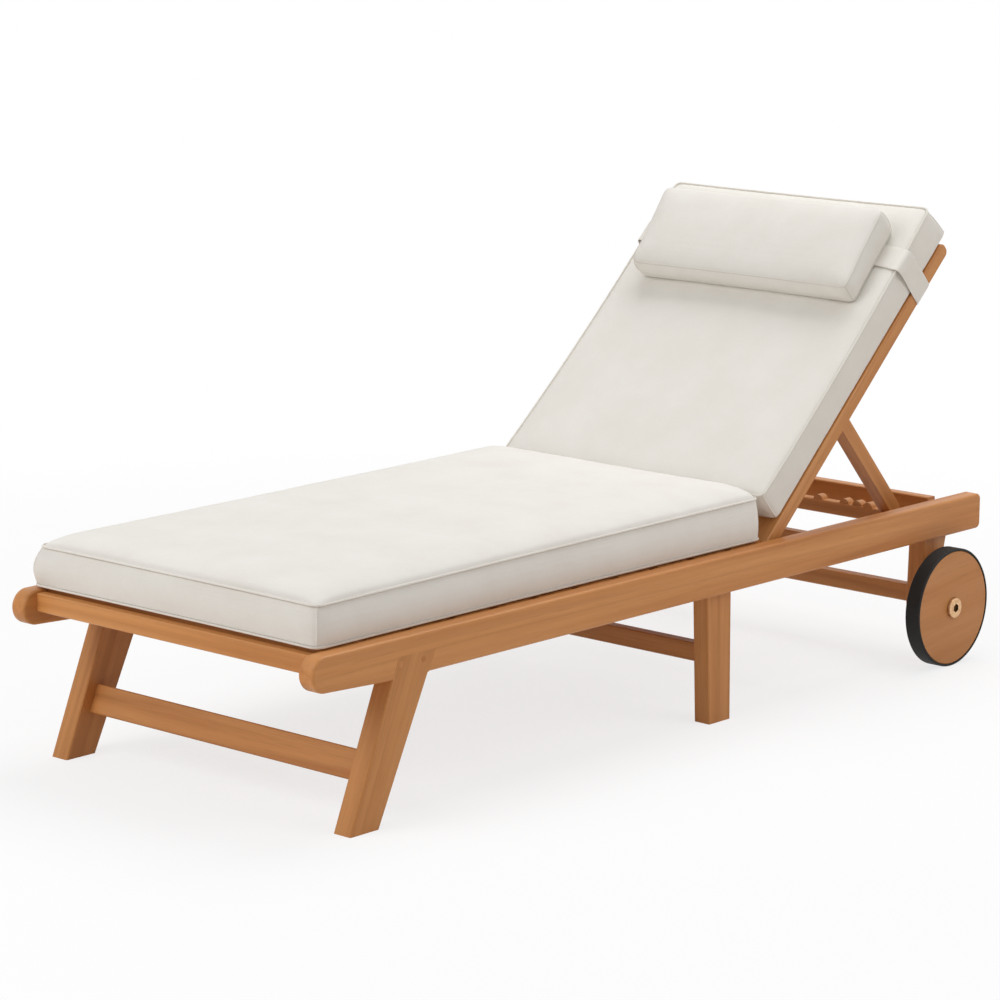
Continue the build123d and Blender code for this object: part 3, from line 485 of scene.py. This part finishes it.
def pad_grid(
    half, low, high, base, thick, belly, corner, taper, draw, bulge, step, crown, rounds,
    aside=0.0, lift=0.0, swell=0.0, flare=0.0, skew=0.0, bow=0.0, below=None, full_corner=0.0,
):
    """The closed mesh of a box cushion, in its own axes: across, along and up.

    The belly is how far the lower seam lies above what the cushion rests on, the bulge how far its
    border stands out between the seams, and rounds how far in from the sides, the low end and the
    high end the crown is full. The taper is how much narrower each side is at the high end, and the
    draw how far the sides and ends are drawn in. The lift is how far the lower seam rises from the
    low end to the high one, the swell how much thicker the border gets, and the flare how far the
    lower seam lies outside the upper one but at the high end, or below is half its width where its
    sides are straight. Aside moves the whole sideways, the skew its high end, and the bow its middle.
    The full corner is how far the border's first corner stands out.

    Returns its points and faces, the numbers of each ring of its border, the places of the border's
    corners, and which points lie flat below.
    """
    middle = (low + high) / 2
    reach = (high - low) / 2
    across = max(LEAST_SPANS, round(2 * half / step))
    along = max(LEAST_SPANS, round(2 * reach / step))
    down = max(LEAST_BORDER_SPANS, round(thick / step * BORDER_FINER))
    us = spread(across)
    vs = spread(along)
    points = []
    faces = []

    def plan(u, v, half, draw, taper, bow):
        """A place on the outline's unit square, with round corners and sides drawn in."""
        x = half * u
        y = reach * v
        over_x = abs(x) - (half - corner)
        over_y = abs(y) - (reach - corner)
        if over_x > 0 and over_y > 0:
            scale = max(over_x, over_y) / (over_x ** 2 + over_y ** 2) ** 0.5
            x = (half - corner + over_x * scale) * np.sign(u)
            y = (reach - corner + over_y * scale) * np.sign(v)
        x *= 1 - draw / half * (1 - v * v) - taper / half * (1 + v) / 2
        y *= 1 - draw / reach * (1 - u * u)
        return x + aside + skew * v + bow * (1 - v * v), middle + y

    def panel(height, slope, crown_of, reaches, shape, out):
        """Adds one panel's grid of points, its low end moved out, and returns their numbers."""
        numbers = {}
        for i, u in enumerate(us):
            for j, v in enumerate(vs):
                x, y = plan(u, v, *shape)
                y += min(v, 0) * out
                edge = height + slope * (1 + v) / 2
                full = fullness((1 - abs(u)) * half, reaches[0])
                full *= fullness((1 + v) * reach, reaches[1]) * fullness((1 - v) * reach, reaches[2])
                numbers[i, j] = len(points)
                points.append((x, y, edge + crown_of(edge) * full))
        return numbers

    top = panel(base + thick, lift + swell, lambda edge: crown, rounds, (half, draw, taper, bow), 0.0)
    shape = (below, 0.0, 0.0, 0.0) if below else (half + flare, draw, taper, bow)
    rounded = (BELLY_ROUND_SHARE * belly,) * 3
    bottom = panel(base + belly, lift, lambda edge: base - edge, rounded, shape, flare)
    for i in range(across):
        for j in range(along):
            faces.append((top[i, j], top[i + 1, j], top[i + 1, j + 1], top[i, j + 1]))
            faces.append((bottom[i, j], bottom[i, j + 1], bottom[i + 1, j + 1], bottom[i + 1, j]))
    rim = [(i, 0) for i in range(across)] + [(across, j) for j in range(along)]
    rim += [(i, along) for i in range(across, 0, -1)] + [(0, j) for j in range(along, 0, -1)]
    outline = [np.array(points[top[place]]) for place in rim]
    corners = [0, across, across + along, 2 * across + along]
    at_corners = [outline[k][:2] for k in corners]
    rings = [[top[place] for place in rim]]
    for k in range(1, down):
        ring = []
        for number, place in enumerate(rim):
            upper = np.array(points[top[place]])
            lower = np.array(points[bottom[place]])
            ahead = outline[(number + 1) % len(rim)] - outline[number - 1]
            outward = np.array((ahead[1], -ahead[0], 0.0)) / np.linalg.norm(ahead[:2])
            near = min(np.linalg.norm(outline[number][:2] - c) for c in at_corners)
            out = bulge * (1 - CORNER_HOLD_SHARE * np.exp(-((near / CORNER_REACH) ** 2)))
            from_first = np.linalg.norm(outline[number][:2] - at_corners[0])
            out += full_corner * np.exp(-((from_first / FULL_CORNER_REACH) ** 2))
            ring.append(len(points))
            between = upper + (lower - upper) * k / down
            points.append(tuple(between + outward * out * sin(pi * k / down)))
        rings.append(ring)
    rings.append([bottom[place] for place in rim])
    for upper, lower in zip(rings, rings[1:]):
        for k in range(len(rim)):
            nxt = (k + 1) % len(rim)
            faces.append((upper[k], lower[k], lower[nxt], upper[nxt]))
    flat = {
        bottom[i, j]
        for i, u in enumerate(us)
        for j, v in enumerate(vs)
        if max(abs(u), abs(v)) < RESTING_SHARE
    }
    return points, faces, rings, corners, flat


# Puckers beside the seams: how deep, how far they reach, how close to a seam they begin and how many
# there are to a metre; and the broad unevenness between them
PUCKER_DEPTH = 1.5 * MM
PUCKER_REACH = 28 * MM
PUCKER_START = 9 * MM
PUCKERS_TO_METRE = 26
BROAD_SHARE = 0.6
BROAD_START = 60 * MM
BROAD_TO_METRE = 6


def creases(points, faces, rings, still, seed):
    """Small puckers in the cloth beside its seams, fading away from them, and a slight unevenness."""
    mesh = bpy.data.meshes.new("creases")
    mesh.from_pydata([tuple(p) for p in points], [], faces)
    mesh.update()
    normals = [v.normal.copy() for v in mesh.vertices]
    bpy.data.meshes.remove(mesh)
    seams = KDTree(2 * len(rings[0]))
    for k, number in enumerate(rings[0] + rings[-1]):
        seams.insert(Vector(points[number]), k)
    seams.balance()
    fixed = set(rings[0]) | set(rings[-1]) | still
    shifted = []
    for number, place in enumerate(points):
        place = Vector(place)
        if number not in fixed:
            nearest, _, distance = seams.find(place)
            fade = min(1.0, distance / PUCKER_START) * float(np.exp(-distance / PUCKER_REACH))
            spot = Vector((nearest.x * PUCKERS_TO_METRE + seed, nearest.y * PUCKERS_TO_METRE, seed))
            broad = noise.noise(place * BROAD_TO_METRE + Vector((seed, 0, 0)))
            broad *= BROAD_SHARE * min(1.0, distance / BROAD_START)
            place = place + normals[number] * PUCKER_DEPTH * (noise.noise(spot) * fade + broad)
        shifted.append(place)
    return shifted


CLOTH_FRAMES = 20
CLOTH = dict(
    quality=6, mass=0.25, tension_stiffness=18, compression_stiffness=18, shear_stiffness=6,
    bending_stiffness=0.6, use_pressure=True, shrink_min=-0.006, pin_stiffness=1.0,
)


def inflate(name, points, faces, pinned, pressure, cap):
    """Blows the closed mesh up as cloth, with some points held.
    """
    start = np.array(points)
    mesh = bpy.data.meshes.new(name + "_cloth")
    mesh.from_pydata(points, [], faces)
    pad = bpy.data.objects.new(name + "_cloth", mesh)
    scene.collection.objects.link(pad)
    group = pad.vertex_groups.new(name="held")
    group.add(sorted(pinned), 1.0, "REPLACE")
    cloth = pad.modifiers.new("Cloth", "CLOTH")
    settings = cloth.settings
    for key, value in CLOTH.items():
        setattr(settings, key, value)
    settings.uniform_pressure_force = pressure
    settings.vertex_group_mass = group.name
    settings.effector_weights.gravity = 0.0
    cloth.collision_settings.use_collision = False
    for step in range(1, CLOTH_FRAMES + 1):
        scene.frame_set(step)
    settled = pad.evaluated_get(bpy.context.evaluated_depsgraph_get()).to_mesh()
    moved = np.array([tuple(v.co) for v in settled.vertices])
    pad.to_mesh_clear()
    bpy.data.objects.remove(pad)
    scene.frame_set(1)
    shift = moved - start
    farthest = np.linalg.norm(shift, axis=1).max()
    return start + shift * min(1.0, cap / farthest)


def to_world(points, flat):
    """Points in a cushion's own axes, as points of the lounger: laid flat, or on the back."""
    if flat:
        return [Vector(p) for p in points]
    return [HINGE + Vector((p[0], 0, 0)) + ALONG_BACK * p[1] + OUT_OF_BACK * p[2] for p in points]


def add_piece(name, points, faces, material, levels=1):
    """A smoothly shaded mesh piece with its material, subdivided that many times."""
    mesh = bpy.data.meshes.new(name)
    mesh.from_pydata([tuple(p) for p in points], [], faces)
    mesh.update()
    shape = bmesh.new()
    shape.from_mesh(mesh)
    bmesh.ops.recalc_face_normals(shape, faces=shape.faces)
    shape.to_mesh(mesh)
    shape.free()
    mesh.materials.append(material)
    mesh.polygons.foreach_set("use_smooth", [True] * len(mesh.polygons))
    piece = bpy.data.objects.new(name, mesh)
    scene.collection.objects.link(piece)
    if levels:
        surface = piece.modifiers.new("Subdivision", "SUBSURF")
        surface.levels = levels
        surface.render_levels = levels
    return piece


def surface_of(piece):
    """A piece's surface as its modifiers leave it, for finding places on it."""
    finished = piece.evaluated_get(bpy.context.evaluated_depsgraph_get())
    shape = finished.to_mesh()
    surface = BVHTree.FromPolygons(
        [tuple(v.co) for v in shape.vertices], [tuple(p.vertices) for p in shape.polygons]
    )
    finished.to_mesh_clear()
    return surface


TUBE_SIDES = 10


def add_tube(name, paths, radius, material):
    """Round piping along paths: each is (points, outward directions or None, closed).

    Proud is 1 where its surface faces outward, and falls to its sides, which are sewn in; the canvas paints
    shade on those sides by it.
    """
    points = []
    faces = []
    proud = []
    for path, outward, closed in paths:
        count = len(path)
        first = len(points)
        side = None
        for k, place in enumerate(path):
            if closed:
                ahead, behind = path[(k + 1) % count], path[k - 1]
            else:
                ahead, behind = path[min(k + 1, count - 1)], path[max(k - 1, 0)]
            forward = (ahead - behind).normalized()
            if side is None:
                side = forward.orthogonal().normalized()
            side = (side - forward * side.dot(forward)).normalized()
            over = forward.cross(side)
            for turn in range(TUBE_SIDES):
                angle = 2 * pi * turn / TUBE_SIDES
                ray = side * cos(angle) + over * sin(angle)
                points.append(place + ray * radius)
                proud.append(ray.dot(outward[k]) if outward else 1.0)
        spans = count if closed else count - 1
        for k in range(spans):
            here = first + k * TUBE_SIDES
            there = first + (k + 1) % count * TUBE_SIDES
            for turn in range(TUBE_SIDES):
                nxt = (turn + 1) % TUBE_SIDES
                faces.append((here + turn, here + nxt, there + nxt, there + turn))
        if not closed:
            faces.append(tuple(first + turn for turn in reversed(range(TUBE_SIDES))))
            last = first + (count - 1) * TUBE_SIDES
            faces.append(tuple(last + turn for turn in range(TUBE_SIDES)))
    piece = add_piece(name, points, faces, material, levels=0)
    piece.data.attributes.new("proud", "FLOAT", "POINT").data.foreach_set("value", proud)
    return piece


PIPING_RADIUS = 2.8 * MM
PIPING_OUT = 1.2 * MM
CORNER_PIPING_RADIUS = 1.6 * MM
SEAM_RADIUS = 1.0 * MM
SEAM_SUNK = 0.4 * MM
UPWARD_SHARE = 0.5

# The size of a cushion's faces, and how crisp its seams stay
CUSHION_STEP = 12 * MM
CRISP_SEAM = 1.0
SOFT_SEAM = 0.5


def crease_seams(piece, lines, crisp):
    """Keeps a cushion's seams crisp when it is subdivided."""
    seams = {frozenset(pair) for line in lines for pair in zip(line, line[1:])}
    sharp = piece.data.attributes.new("crease_edge", "FLOAT", "EDGE")
    for edge in piece.data.edges:
        if frozenset(edge.vertices) in seams:
            sharp.data[edge.index].value = crisp


def stood_out(placed, rings, ring):
    """A closed seam moved outward, so that its piping stands proud, and the way each point was moved."""
    upright = placed[rings[0][0]] - placed[rings[-1][0]]
    up = upright.normalized()
    if ring is rings[-1]:
        up = -up
    path = []
    outward = []
    for k, number in enumerate(ring):
        ahead = (placed[ring[(k + 1) % len(ring)]] - placed[ring[k - 1]]).normalized()
        level = ahead.cross(upright).normalized()
        away = (level + UPWARD_SHARE * up).normalized()
        path.append(placed[number] + away * PIPING_OUT)
        outward.append(away)
    return path, outward, True


def end_panel_seams(piece, placed, rings, corners, joined):
    """The closed seams round the two end panels, laid on the subdivided surface.

    Where they are joined, one more seam runs between them along the upper front edge.
    """
    surface = surface_of(piece)
    count = len(rings[0])
    paths = []
    for first, last in ((corners[1], corners[2]), (corners[3], count)):
        there = last % count
        loop = [rings[0][k % count] for k in range(first, last)]
        loop += [ring[there] for ring in rings[:-1]]
        loop += [rings[-1][k % count] for k in range(last, first, -1)]
        loop += [ring[first] for ring in reversed(rings[1:])]
        found = [surface.find_nearest(placed[n]) for n in loop]
        paths.append(([f[0] for f in found], [f[1] for f in found], True))
    if joined:
        found = [surface.find_nearest(placed[n]) for n in rings[0][:corners[1] + 1]]
        paths.append(([f[0] - f[1] * SEAM_SUNK for f in found], [f[1] for f in found], False))
    return paths


def make_cushion(name, flat, sizes, pressure, cap, cloths, body, seed, seams, bend=None):
    """A box cushion, with piping or stitching along the seams named, as one body's or, where a bend is
    given, in no body.

    The seams are its top, bottom, corners, ends or front. Pressure and cap say how far it swells. Bend is
    the two places between which it goes over from the frame to the backrest; only whether it is given is
    read.
    """
    material, piping_material = cloths
    points, faces, rings, corners, rests = pad_grid(**sizes)
    uprights = {ring[k] for ring in rings for k in corners}
    held = set(rings[0]) | set(rings[-1]) | rests | uprights
    settled = inflate(name, points, faces, held, pressure, cap)
    placed = to_world(creases(settled, faces, rings, rests | uprights, seed), flat)
    piece = add_piece(name, placed, faces, material)
    parts = [piece]
    if "front" in seams:
        crease_seams(piece, [rings[0][:corners[1] + 1]], SOFT_SEAM)
    else:
        crease_seams(piece, [rings[0] + rings[0][:1], rings[-1] + rings[-1][:1]], CRISP_SEAM)
    paths = []
    if "top" in seams:
        paths.append(stood_out(placed, rings, rings[0]))
    if "bottom" in seams:
        paths.append(stood_out(placed, rings, rings[-1]))
    if paths:
        parts.append(add_tube(name + "_piping", paths, PIPING_RADIUS, piping_material))
    if "corners" in seams:
        ups = [([placed[ring[k]] for ring in rings], None, False) for k in corners]
        parts.append(add_tube(name + "_corner_piping", ups, CORNER_PIPING_RADIUS, piping_material))
    if "ends" in seams:
        loops = end_panel_seams(piece, placed, rings, corners, "front" in seams)
        parts.append(add_tube(name + "_seams", loops, SEAM_RADIUS, piping_material))
    for part in parts:
        if bend:
            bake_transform(part)
        else:
            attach(part, body)
    return piece


SEAT_SIZES = dict(
    half=358 * MM, low=-947 * MM, high=288 * MM, base=336.4 * MM, thick=77 * MM, belly=6 * MM,
    corner=18 * MM, taper=0.0, draw=3 * MM, bulge=6 * MM, step=CUSHION_STEP, crown=25 * MM,
    rounds=(75 * MM, 75 * MM, 30 * MM), aside=-10 * MM, lift=2 * MM, swell=7 * MM, flare=8 * MM,
    full_corner=9 * MM,
)
BACK_SIZES = dict(
    half=341 * MM, low=57 * MM, high=814 * MM, base=15.8 * MM, thick=71 * MM, belly=6 * MM,
    corner=14 * MM, taper=9 * MM, draw=2 * MM, bulge=3 * MM, step=CUSHION_STEP, crown=10 * MM,
    rounds=(55 * MM, 45 * MM, 45 * MM), flare=5 * MM, bow=10 * MM, below=345.5 * MM,
)
PILLOW_SIZES = dict(
    half=281 * MM, low=541 * MM, high=743 * MM, base=99.2 * MM, thick=50 * MM, belly=8 * MM,
    corner=18 * MM, taper=-5 * MM, draw=2 * MM, bulge=6 * MM, step=8 * MM, crown=12 * MM,
    rounds=(38 * MM, 40 * MM, 50 * MM), aside=15 * MM, swell=12 * MM, skew=-7 * MM,
)

# Where each cushion at the hinge leaves the frame and has wholly joined the backrest; only that they are
# given is read
SEAT_BEND = (Vector((0, 0.17, 0.36)), Vector((0, 0.53, 0.36)))
BACK_BEND = (HINGE - ALONG_BACK * 0.12, HINGE + ALONG_BACK * 0.15)


def make_cushions():
    """The seat and back cushions and the pillow, in place of their plain solids."""
    # The piping and seam cloths darken their cords' sides as painted shade
    piping_cloth = canvas(
        "canvas_piping", linear(240, 237, 232), linear(236, 232, 226), painted_flank_shade=linear(218, 213, 206)
    )
    back_piping = canvas(
        "canvas_back_piping", linear(236, 233, 227), linear(232, 228, 221), painted_flank_shade=linear(238, 236, 232)
    )
    flat_cloth = canvas("canvas_seat", linear(237, 234, 229), linear(233, 229, 223))
    back_cloth = canvas("canvas_back", linear(236, 233, 227), linear(232, 228, 221), along=ALONG_BACK)
    # The pillow's canvas is a little darker than the back's: partly its own tone, partly painted shade for
    # its front band
    pillow_cloth = canvas(
        "canvas_pillow", linear(232, 229, 223), linear(228, 224, 217), along=ALONG_BACK
    )
    seam_cloth = canvas(
        "canvas_seam", linear(226, 222, 215), linear(221, 216, 208), painted_flank_shade=linear(218, 213, 206)
    )
    seat = make_cushion(
        "seat_pad", True, SEAT_SIZES, 2.0, 4 * MM, (flat_cloth, piping_cloth), "frame", 3,
        ("top", "bottom", "corners"), SEAT_BEND,
    )
    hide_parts("seat_cushion")
    back = make_cushion(
        "back_pad", False, BACK_SIZES, 2.0, 4 * MM, (back_cloth, back_piping), "backrest", 11,
        ("top", "corners"), BACK_BEND,
    )
    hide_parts("back_cushion")
    pillow = make_cushion(
        "head_pillow", False, PILLOW_SIZES, 3.0, 5 * MM, (pillow_cloth, seam_cloth), "headrest", 17,
        ("ends", "front"),
    )
    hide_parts("headrest_pillow")
    make_strap(back, back_cloth)


# The strap: where its edges lie along the back, and how far out its path turns down at each side
STRAP_LOW = 644 * MM
STRAP_HIGH = 700 * MM
STRAP_THICK = 1.5 * MM
STRAP_CLEAR = 1.8 * MM
STRAP_SIDES = (330.4 * MM, 342.0 * MM)
STRAP_MARGIN = 8 * MM
STRAP_ROWS = 6
STRAP_SPANS = 40
STRAP_TURN = 2 * MM
STRAP_END = 3 * MM
ABOVE_CUSHION = 300 * MM
SEAM_HEIGHT = 86.8 * MM

# The path over the piping, as places outward from the seam and above it, and the stiles' faces
OVER_PIPING = (
    (-1.5 * MM, 6.2 * MM), (3.0 * MM, 5.4 * MM), (6.0 * MM, 2.8 * MM), (7.2 * MM, -2.5 * MM),
    (9.0 * MM, -10 * MM),
)
STILE_OUTER = 348.8 * MM
STILE_INNER = 317.2 * MM
STILE_HALF = 15.4 * MM


def side_of_strap(reach):
    """The strap's path over the piping, that far out, then down the cushion's side and round the stile."""
    side = [(reach + out, SEAM_HEIGHT + up) for out, up in OVER_PIPING]
    start = side[-1]
    for share in (0.25, 0.5, 0.75):
        side.append(
            (start[0] + (STILE_OUTER - start[0]) * share, start[1] + (STILE_HALF - start[1]) * share)
        )
    return side + [
        (STILE_OUTER, STILE_HALF),
        (STILE_OUTER, 0.0),
        (STILE_OUTER, STRAP_TURN - STILE_HALF),
        (STILE_OUTER - STRAP_TURN, -STILE_HALF),
        ((STILE_OUTER + STILE_INNER) / 2, -STILE_HALF),
        (STILE_INNER + STRAP_TURN, -STILE_HALF),
        (STILE_INNER, STRAP_TURN - STILE_HALF),
        (STILE_INNER, 0.0),
        (STILE_INNER, STILE_HALF - STRAP_END),
    ]


def make_strap(pad, material):
    """The canvas band over the back cushion and round both stiles, following the cushion's top."""
    surface = surface_of(pad)

    def top_of_pad(x, d):
        """How far the cushion's top stands out of the back there."""
        start = to_world([(x, d, ABOVE_CUSHION)], False)[0]
        hit = surface.ray_cast(start, -OUT_OF_BACK)[0]
        return (hit - HINGE).dot(OUT_OF_BACK)

    lines = [STRAP_LOW + (STRAP_HIGH - STRAP_LOW) * k / STRAP_ROWS for k in range(STRAP_ROWS + 1)]
    left, right = (side_of_strap(reach) for reach in STRAP_SIDES)
    low, high = STRAP_MARGIN - STRAP_SIDES[0], STRAP_SIDES[1] - STRAP_MARGIN
    shares = [(1 + sin(pi / 2 * (-1 + 2 * k / STRAP_SPANS))) / 2 for k in range(STRAP_SPANS + 1)]
    over = [low + (high - low) * share for share in shares]
    grid = []
    for d in lines:
        top = [(x, top_of_pad(x, d) + STRAP_CLEAR) for x in over]
        grid.append([(-x, n) for x, n in reversed(left)] + top + right)
    count = len(grid[0])
    points = []
    for d, line in zip(lines, grid):
        points += to_world([(x, d, n) for x, n in line], False)
    faces = [
        (k * count + m, k * count + m + 1, (k + 1) * count + m + 1, (k + 1) * count + m)
        for k in range(len(lines) - 1)
        for m in range(count - 1)
    ]
    band = add_piece("pillow_strap", points, faces, material, levels=0)
    thicken = band.modifiers.new("Thickness", "SOLIDIFY")
    thicken.thickness = STRAP_THICK
    thicken.offset = 1.0
    soften = band.modifiers.new("Subdivision", "SUBSURF")
    soften.levels = 1
    soften.render_levels = 1
    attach(band, "headrest")
    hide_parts("headrest_strap")


# Axle bolts
BOLT_RADIUS = 6 * MM
HEAD_RADIUS = 21 * MM
HEAD_THICK = 5 * MM
SOCKET = 8.2 * MM
SOCKET_DEPTH = 4 * MM
BOLT_SIDES = 72
SHARP_ANGLE = radians(32)

# The head's turned profile, in shares of its thickness and its radius
HEAD_PROFILE_SHARES = (
    (0.0, 1.0), (0.62, 1.0), (0.86, 0.975), (1.0, 0.90), (1.0, 0.66), (0.93, 0.655), (0.93, 0.61),
    (1.0, 0.60),
)


def make_axle_bolt(side, sign, brass, tarnished):
    """An axle bolt: its shank, and a low round head with a turned rim and a six-sided socket.

    The sign is the side of the lounger that its head faces: 1 is the right.
    """
    low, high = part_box("axle_bolt_" + side)
    middle = (Vector(low) + Vector(high)) / 2
    end, face = (low[0], high[0]) if sign > 0 else (high[0], low[0])
    back = face - sign * HEAD_THICK
    rings = [(end, BOLT_RADIUS, False), (back, BOLT_RADIUS, False)]
    for up, share in HEAD_PROFILE_SHARES:
        rings.append((back + sign * HEAD_THICK * up, HEAD_RADIUS * share, False))
    rings += [(face, SOCKET, True), (face - sign * SOCKET_DEPTH, SOCKET, True)]
    points = []
    for x, radius, six_sided in rings:
        for k in range(BOLT_SIDES):
            angle = 2 * pi * k / BOLT_SIDES
            reach = radius / cos((angle + pi / 6) % (pi / 3) - pi / 6) if six_sided else radius
            points.append((x, middle.y + reach * cos(angle), middle.z + reach * sin(angle)))
    faces = [tuple(range(BOLT_SIDES))]
    for here in range(0, len(points) - BOLT_SIDES, BOLT_SIDES):
        there = here + BOLT_SIDES
        for k in range(BOLT_SIDES):
            nxt = (k + 1) % BOLT_SIDES
            faces.append((here + k, there + k, there + nxt, here + nxt))
    faces.append(tuple(range(len(points) - BOLT_SIDES, len(points))))
    bolt = add_piece("axle_bolt_head_" + side, points, faces, brass, levels=0)
    bolt.data.materials.append(tarnished)
    inside = set(range(len(points) - 2 * BOLT_SIDES, len(points)))
    for polygon in bolt.data.polygons:
        polygon.material_index = 1 if inside.issuperset(polygon.vertices) else 0
    bolt.data.set_sharp_from_angle(angle=SHARP_ANGLE)
    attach(bolt, "frame")
    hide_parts("axle_bolt_" + side)


# Stage and light: the world is a little brighter from the front. The camera sees a pale floor, which
# grows white from the near to the far distance, and the object is lit by a warmer one
WORLD_STRENGTH = 0.36
FROM_FRONT = (0.0, -0.12, 0.0)
HORIZON = (1.0, 0.965, 0.92, 1)
FLOOR_BOUNCE = (0.85, 0.80, 0.745, 1)
FLOOR_PALE = (0.95, 0.955, 0.965, 1)
FLOOR_PALEST = (0.96, 0.965, 0.975, 1)
FLOOR_LIFT = 0.76
FLOOR_NEAR = 1.3
FLOOR_FAR = 2.8
FLOOR_HALF = 30.0


def shown_directly(tree):
    """1 for what the camera sees, straight or in a reflection or through glass, and else 0."""
    path = add_node(tree, "ShaderNodeLightPath")
    seen = path.outputs["Is Camera Ray"]
    for kind in ("Is Glossy Ray", "Is Transmission Ray"):
        either = {0: seen, 1: path.outputs[kind]}
        seen = add_node(tree, "ShaderNodeMath", either, operation="MAXIMUM").outputs[0]
    return seen


def make_stage():
    """A pale floor that turns white away from the lounger, and white surroundings."""
    material, tree, shader = new_material("floor")
    place = add_node(tree, "ShaderNodeTexCoord").outputs["Object"]
    cloudy = add_node(
        tree, "ShaderNodeTexNoise", {"Vector": place, "Scale": 1.2, "Detail": 3.0}
    ).outputs["Fac"]
    shown = shown_directly(tree)
    pale = ramp(tree, cloudy, (0.3, FLOOR_PALE), (0.7, FLOOR_PALEST))
    tree.links.new(mix(tree, "MIX", shown, FLOOR_BOUNCE, pale), shader.inputs["Base Color"])
    shader.inputs["Roughness"].default_value = 0.95
    shader.inputs["Specular IOR Level"].default_value = 0.0
    away = add_node(tree, "ShaderNodeVectorMath", {0: place}, operation="LENGTH").outputs["Value"]
    lift = add_node(
        tree,
        "ShaderNodeMapRange",
        {"Value": away, "From Min": FLOOR_NEAR, "From Max": FLOOR_FAR, "To Min": FLOOR_LIFT, "To Max": 1.0},
    ).outputs[0]
    share = add_node(tree, "ShaderNodeMath", {0: lift, 1: shown}, operation="MULTIPLY").outputs[0]
    glow = add_node(tree, "ShaderNodeEmission", {"Color": WHITE, "Strength": 1.0})
    blended = add_node(
        tree, "ShaderNodeMixShader", {0: share, 1: shader.outputs[0], 2: glow.outputs[0]}
    )
    output = next(n for n in tree.nodes if n.type == "OUTPUT_MATERIAL")
    tree.links.new(blended.outputs[0], output.inputs["Surface"])
    mesh = bpy.data.meshes.new("floor")
    turns = ((-1, -1), (1, -1), (1, 1), (-1, 1))
    mesh.from_pydata([(x * FLOOR_HALF, y * FLOOR_HALF, 0) for x, y in turns], [], [(0, 1, 2, 3)])
    mesh.materials.append(material)
    floor = bpy.data.objects.new("floor", mesh)
    scene.collection.objects.link(floor)

    world = bpy.data.worlds.new("studio")
    scene.world = world
    world.use_nodes = True
    tree = world.node_tree
    background = next(n for n in tree.nodes if n.type == "BACKGROUND")
    direction = add_node(tree, "ShaderNodeTexCoord").outputs["Generated"]
    side = add_node(
        tree, "ShaderNodeVectorMath", {0: direction, 1: FROM_FRONT}, operation="DOT_PRODUCT"
    ).outputs["Value"]
    strength = add_node(tree, "ShaderNodeMath", {0: side, 1: WORLD_STRENGTH}, operation="ADD").outputs[0]
    height = add_node(tree, "ShaderNodeSeparateXYZ", {0: direction}).outputs["Z"]
    sky = ramp(tree, height, (0.0, HORIZON), (0.8, WHITE))
    shown = shown_directly(tree)
    light = add_node(tree, "ShaderNodeVectorMath", {0: sky}, operation="SCALE")
    tree.links.new(strength, light.inputs["Scale"])
    tree.links.new(mix(tree, "MIX", shown, light.outputs[0], WHITE), background.inputs["Color"])
    background.inputs["Strength"].default_value = 1.0


# Each lamp's name, place, size and power; all look at one point
LAMPS = (
    ("key", Vector((-0.3, 1.8, 4.6)), 3.4, 111),
    ("front", Vector((-1.0, -3.8, 3.1)), 2.4, 68),
    ("side", Vector((3.4, 1.4, 3.5)), 2.4, 43),
)
LIT_POINT = Vector((0, 0, 0.3))


def area_light(name, place, size, power):
    """A square soft lamp that looks at the lounger."""
    data = bpy.data.lights.new(name, "AREA")
    data.shape = "SQUARE"
    data.size = size
    data.energy = power
    lamp = bpy.data.objects.new(name, data)
    lamp.location = place
    lamp.rotation_euler = (LIT_POINT - place).to_track_quat("-Z", "Y").to_euler()
    scene.collection.objects.link(lamp)


make_camera()
make_stage()
for lamp in LAMPS:
    area_light(*lamp)
brass = dress_nodes()
tarnished = metal("tarnished_brass", linear(112, 84, 52), linear(84, 62, 38), 0.6)
make_axle_bolt("right", 1, brass, tarnished)
make_axle_bolt("left", -1, brass, tarnished)
make_cushions()

scene.view_settings.view_transform = "Standard"
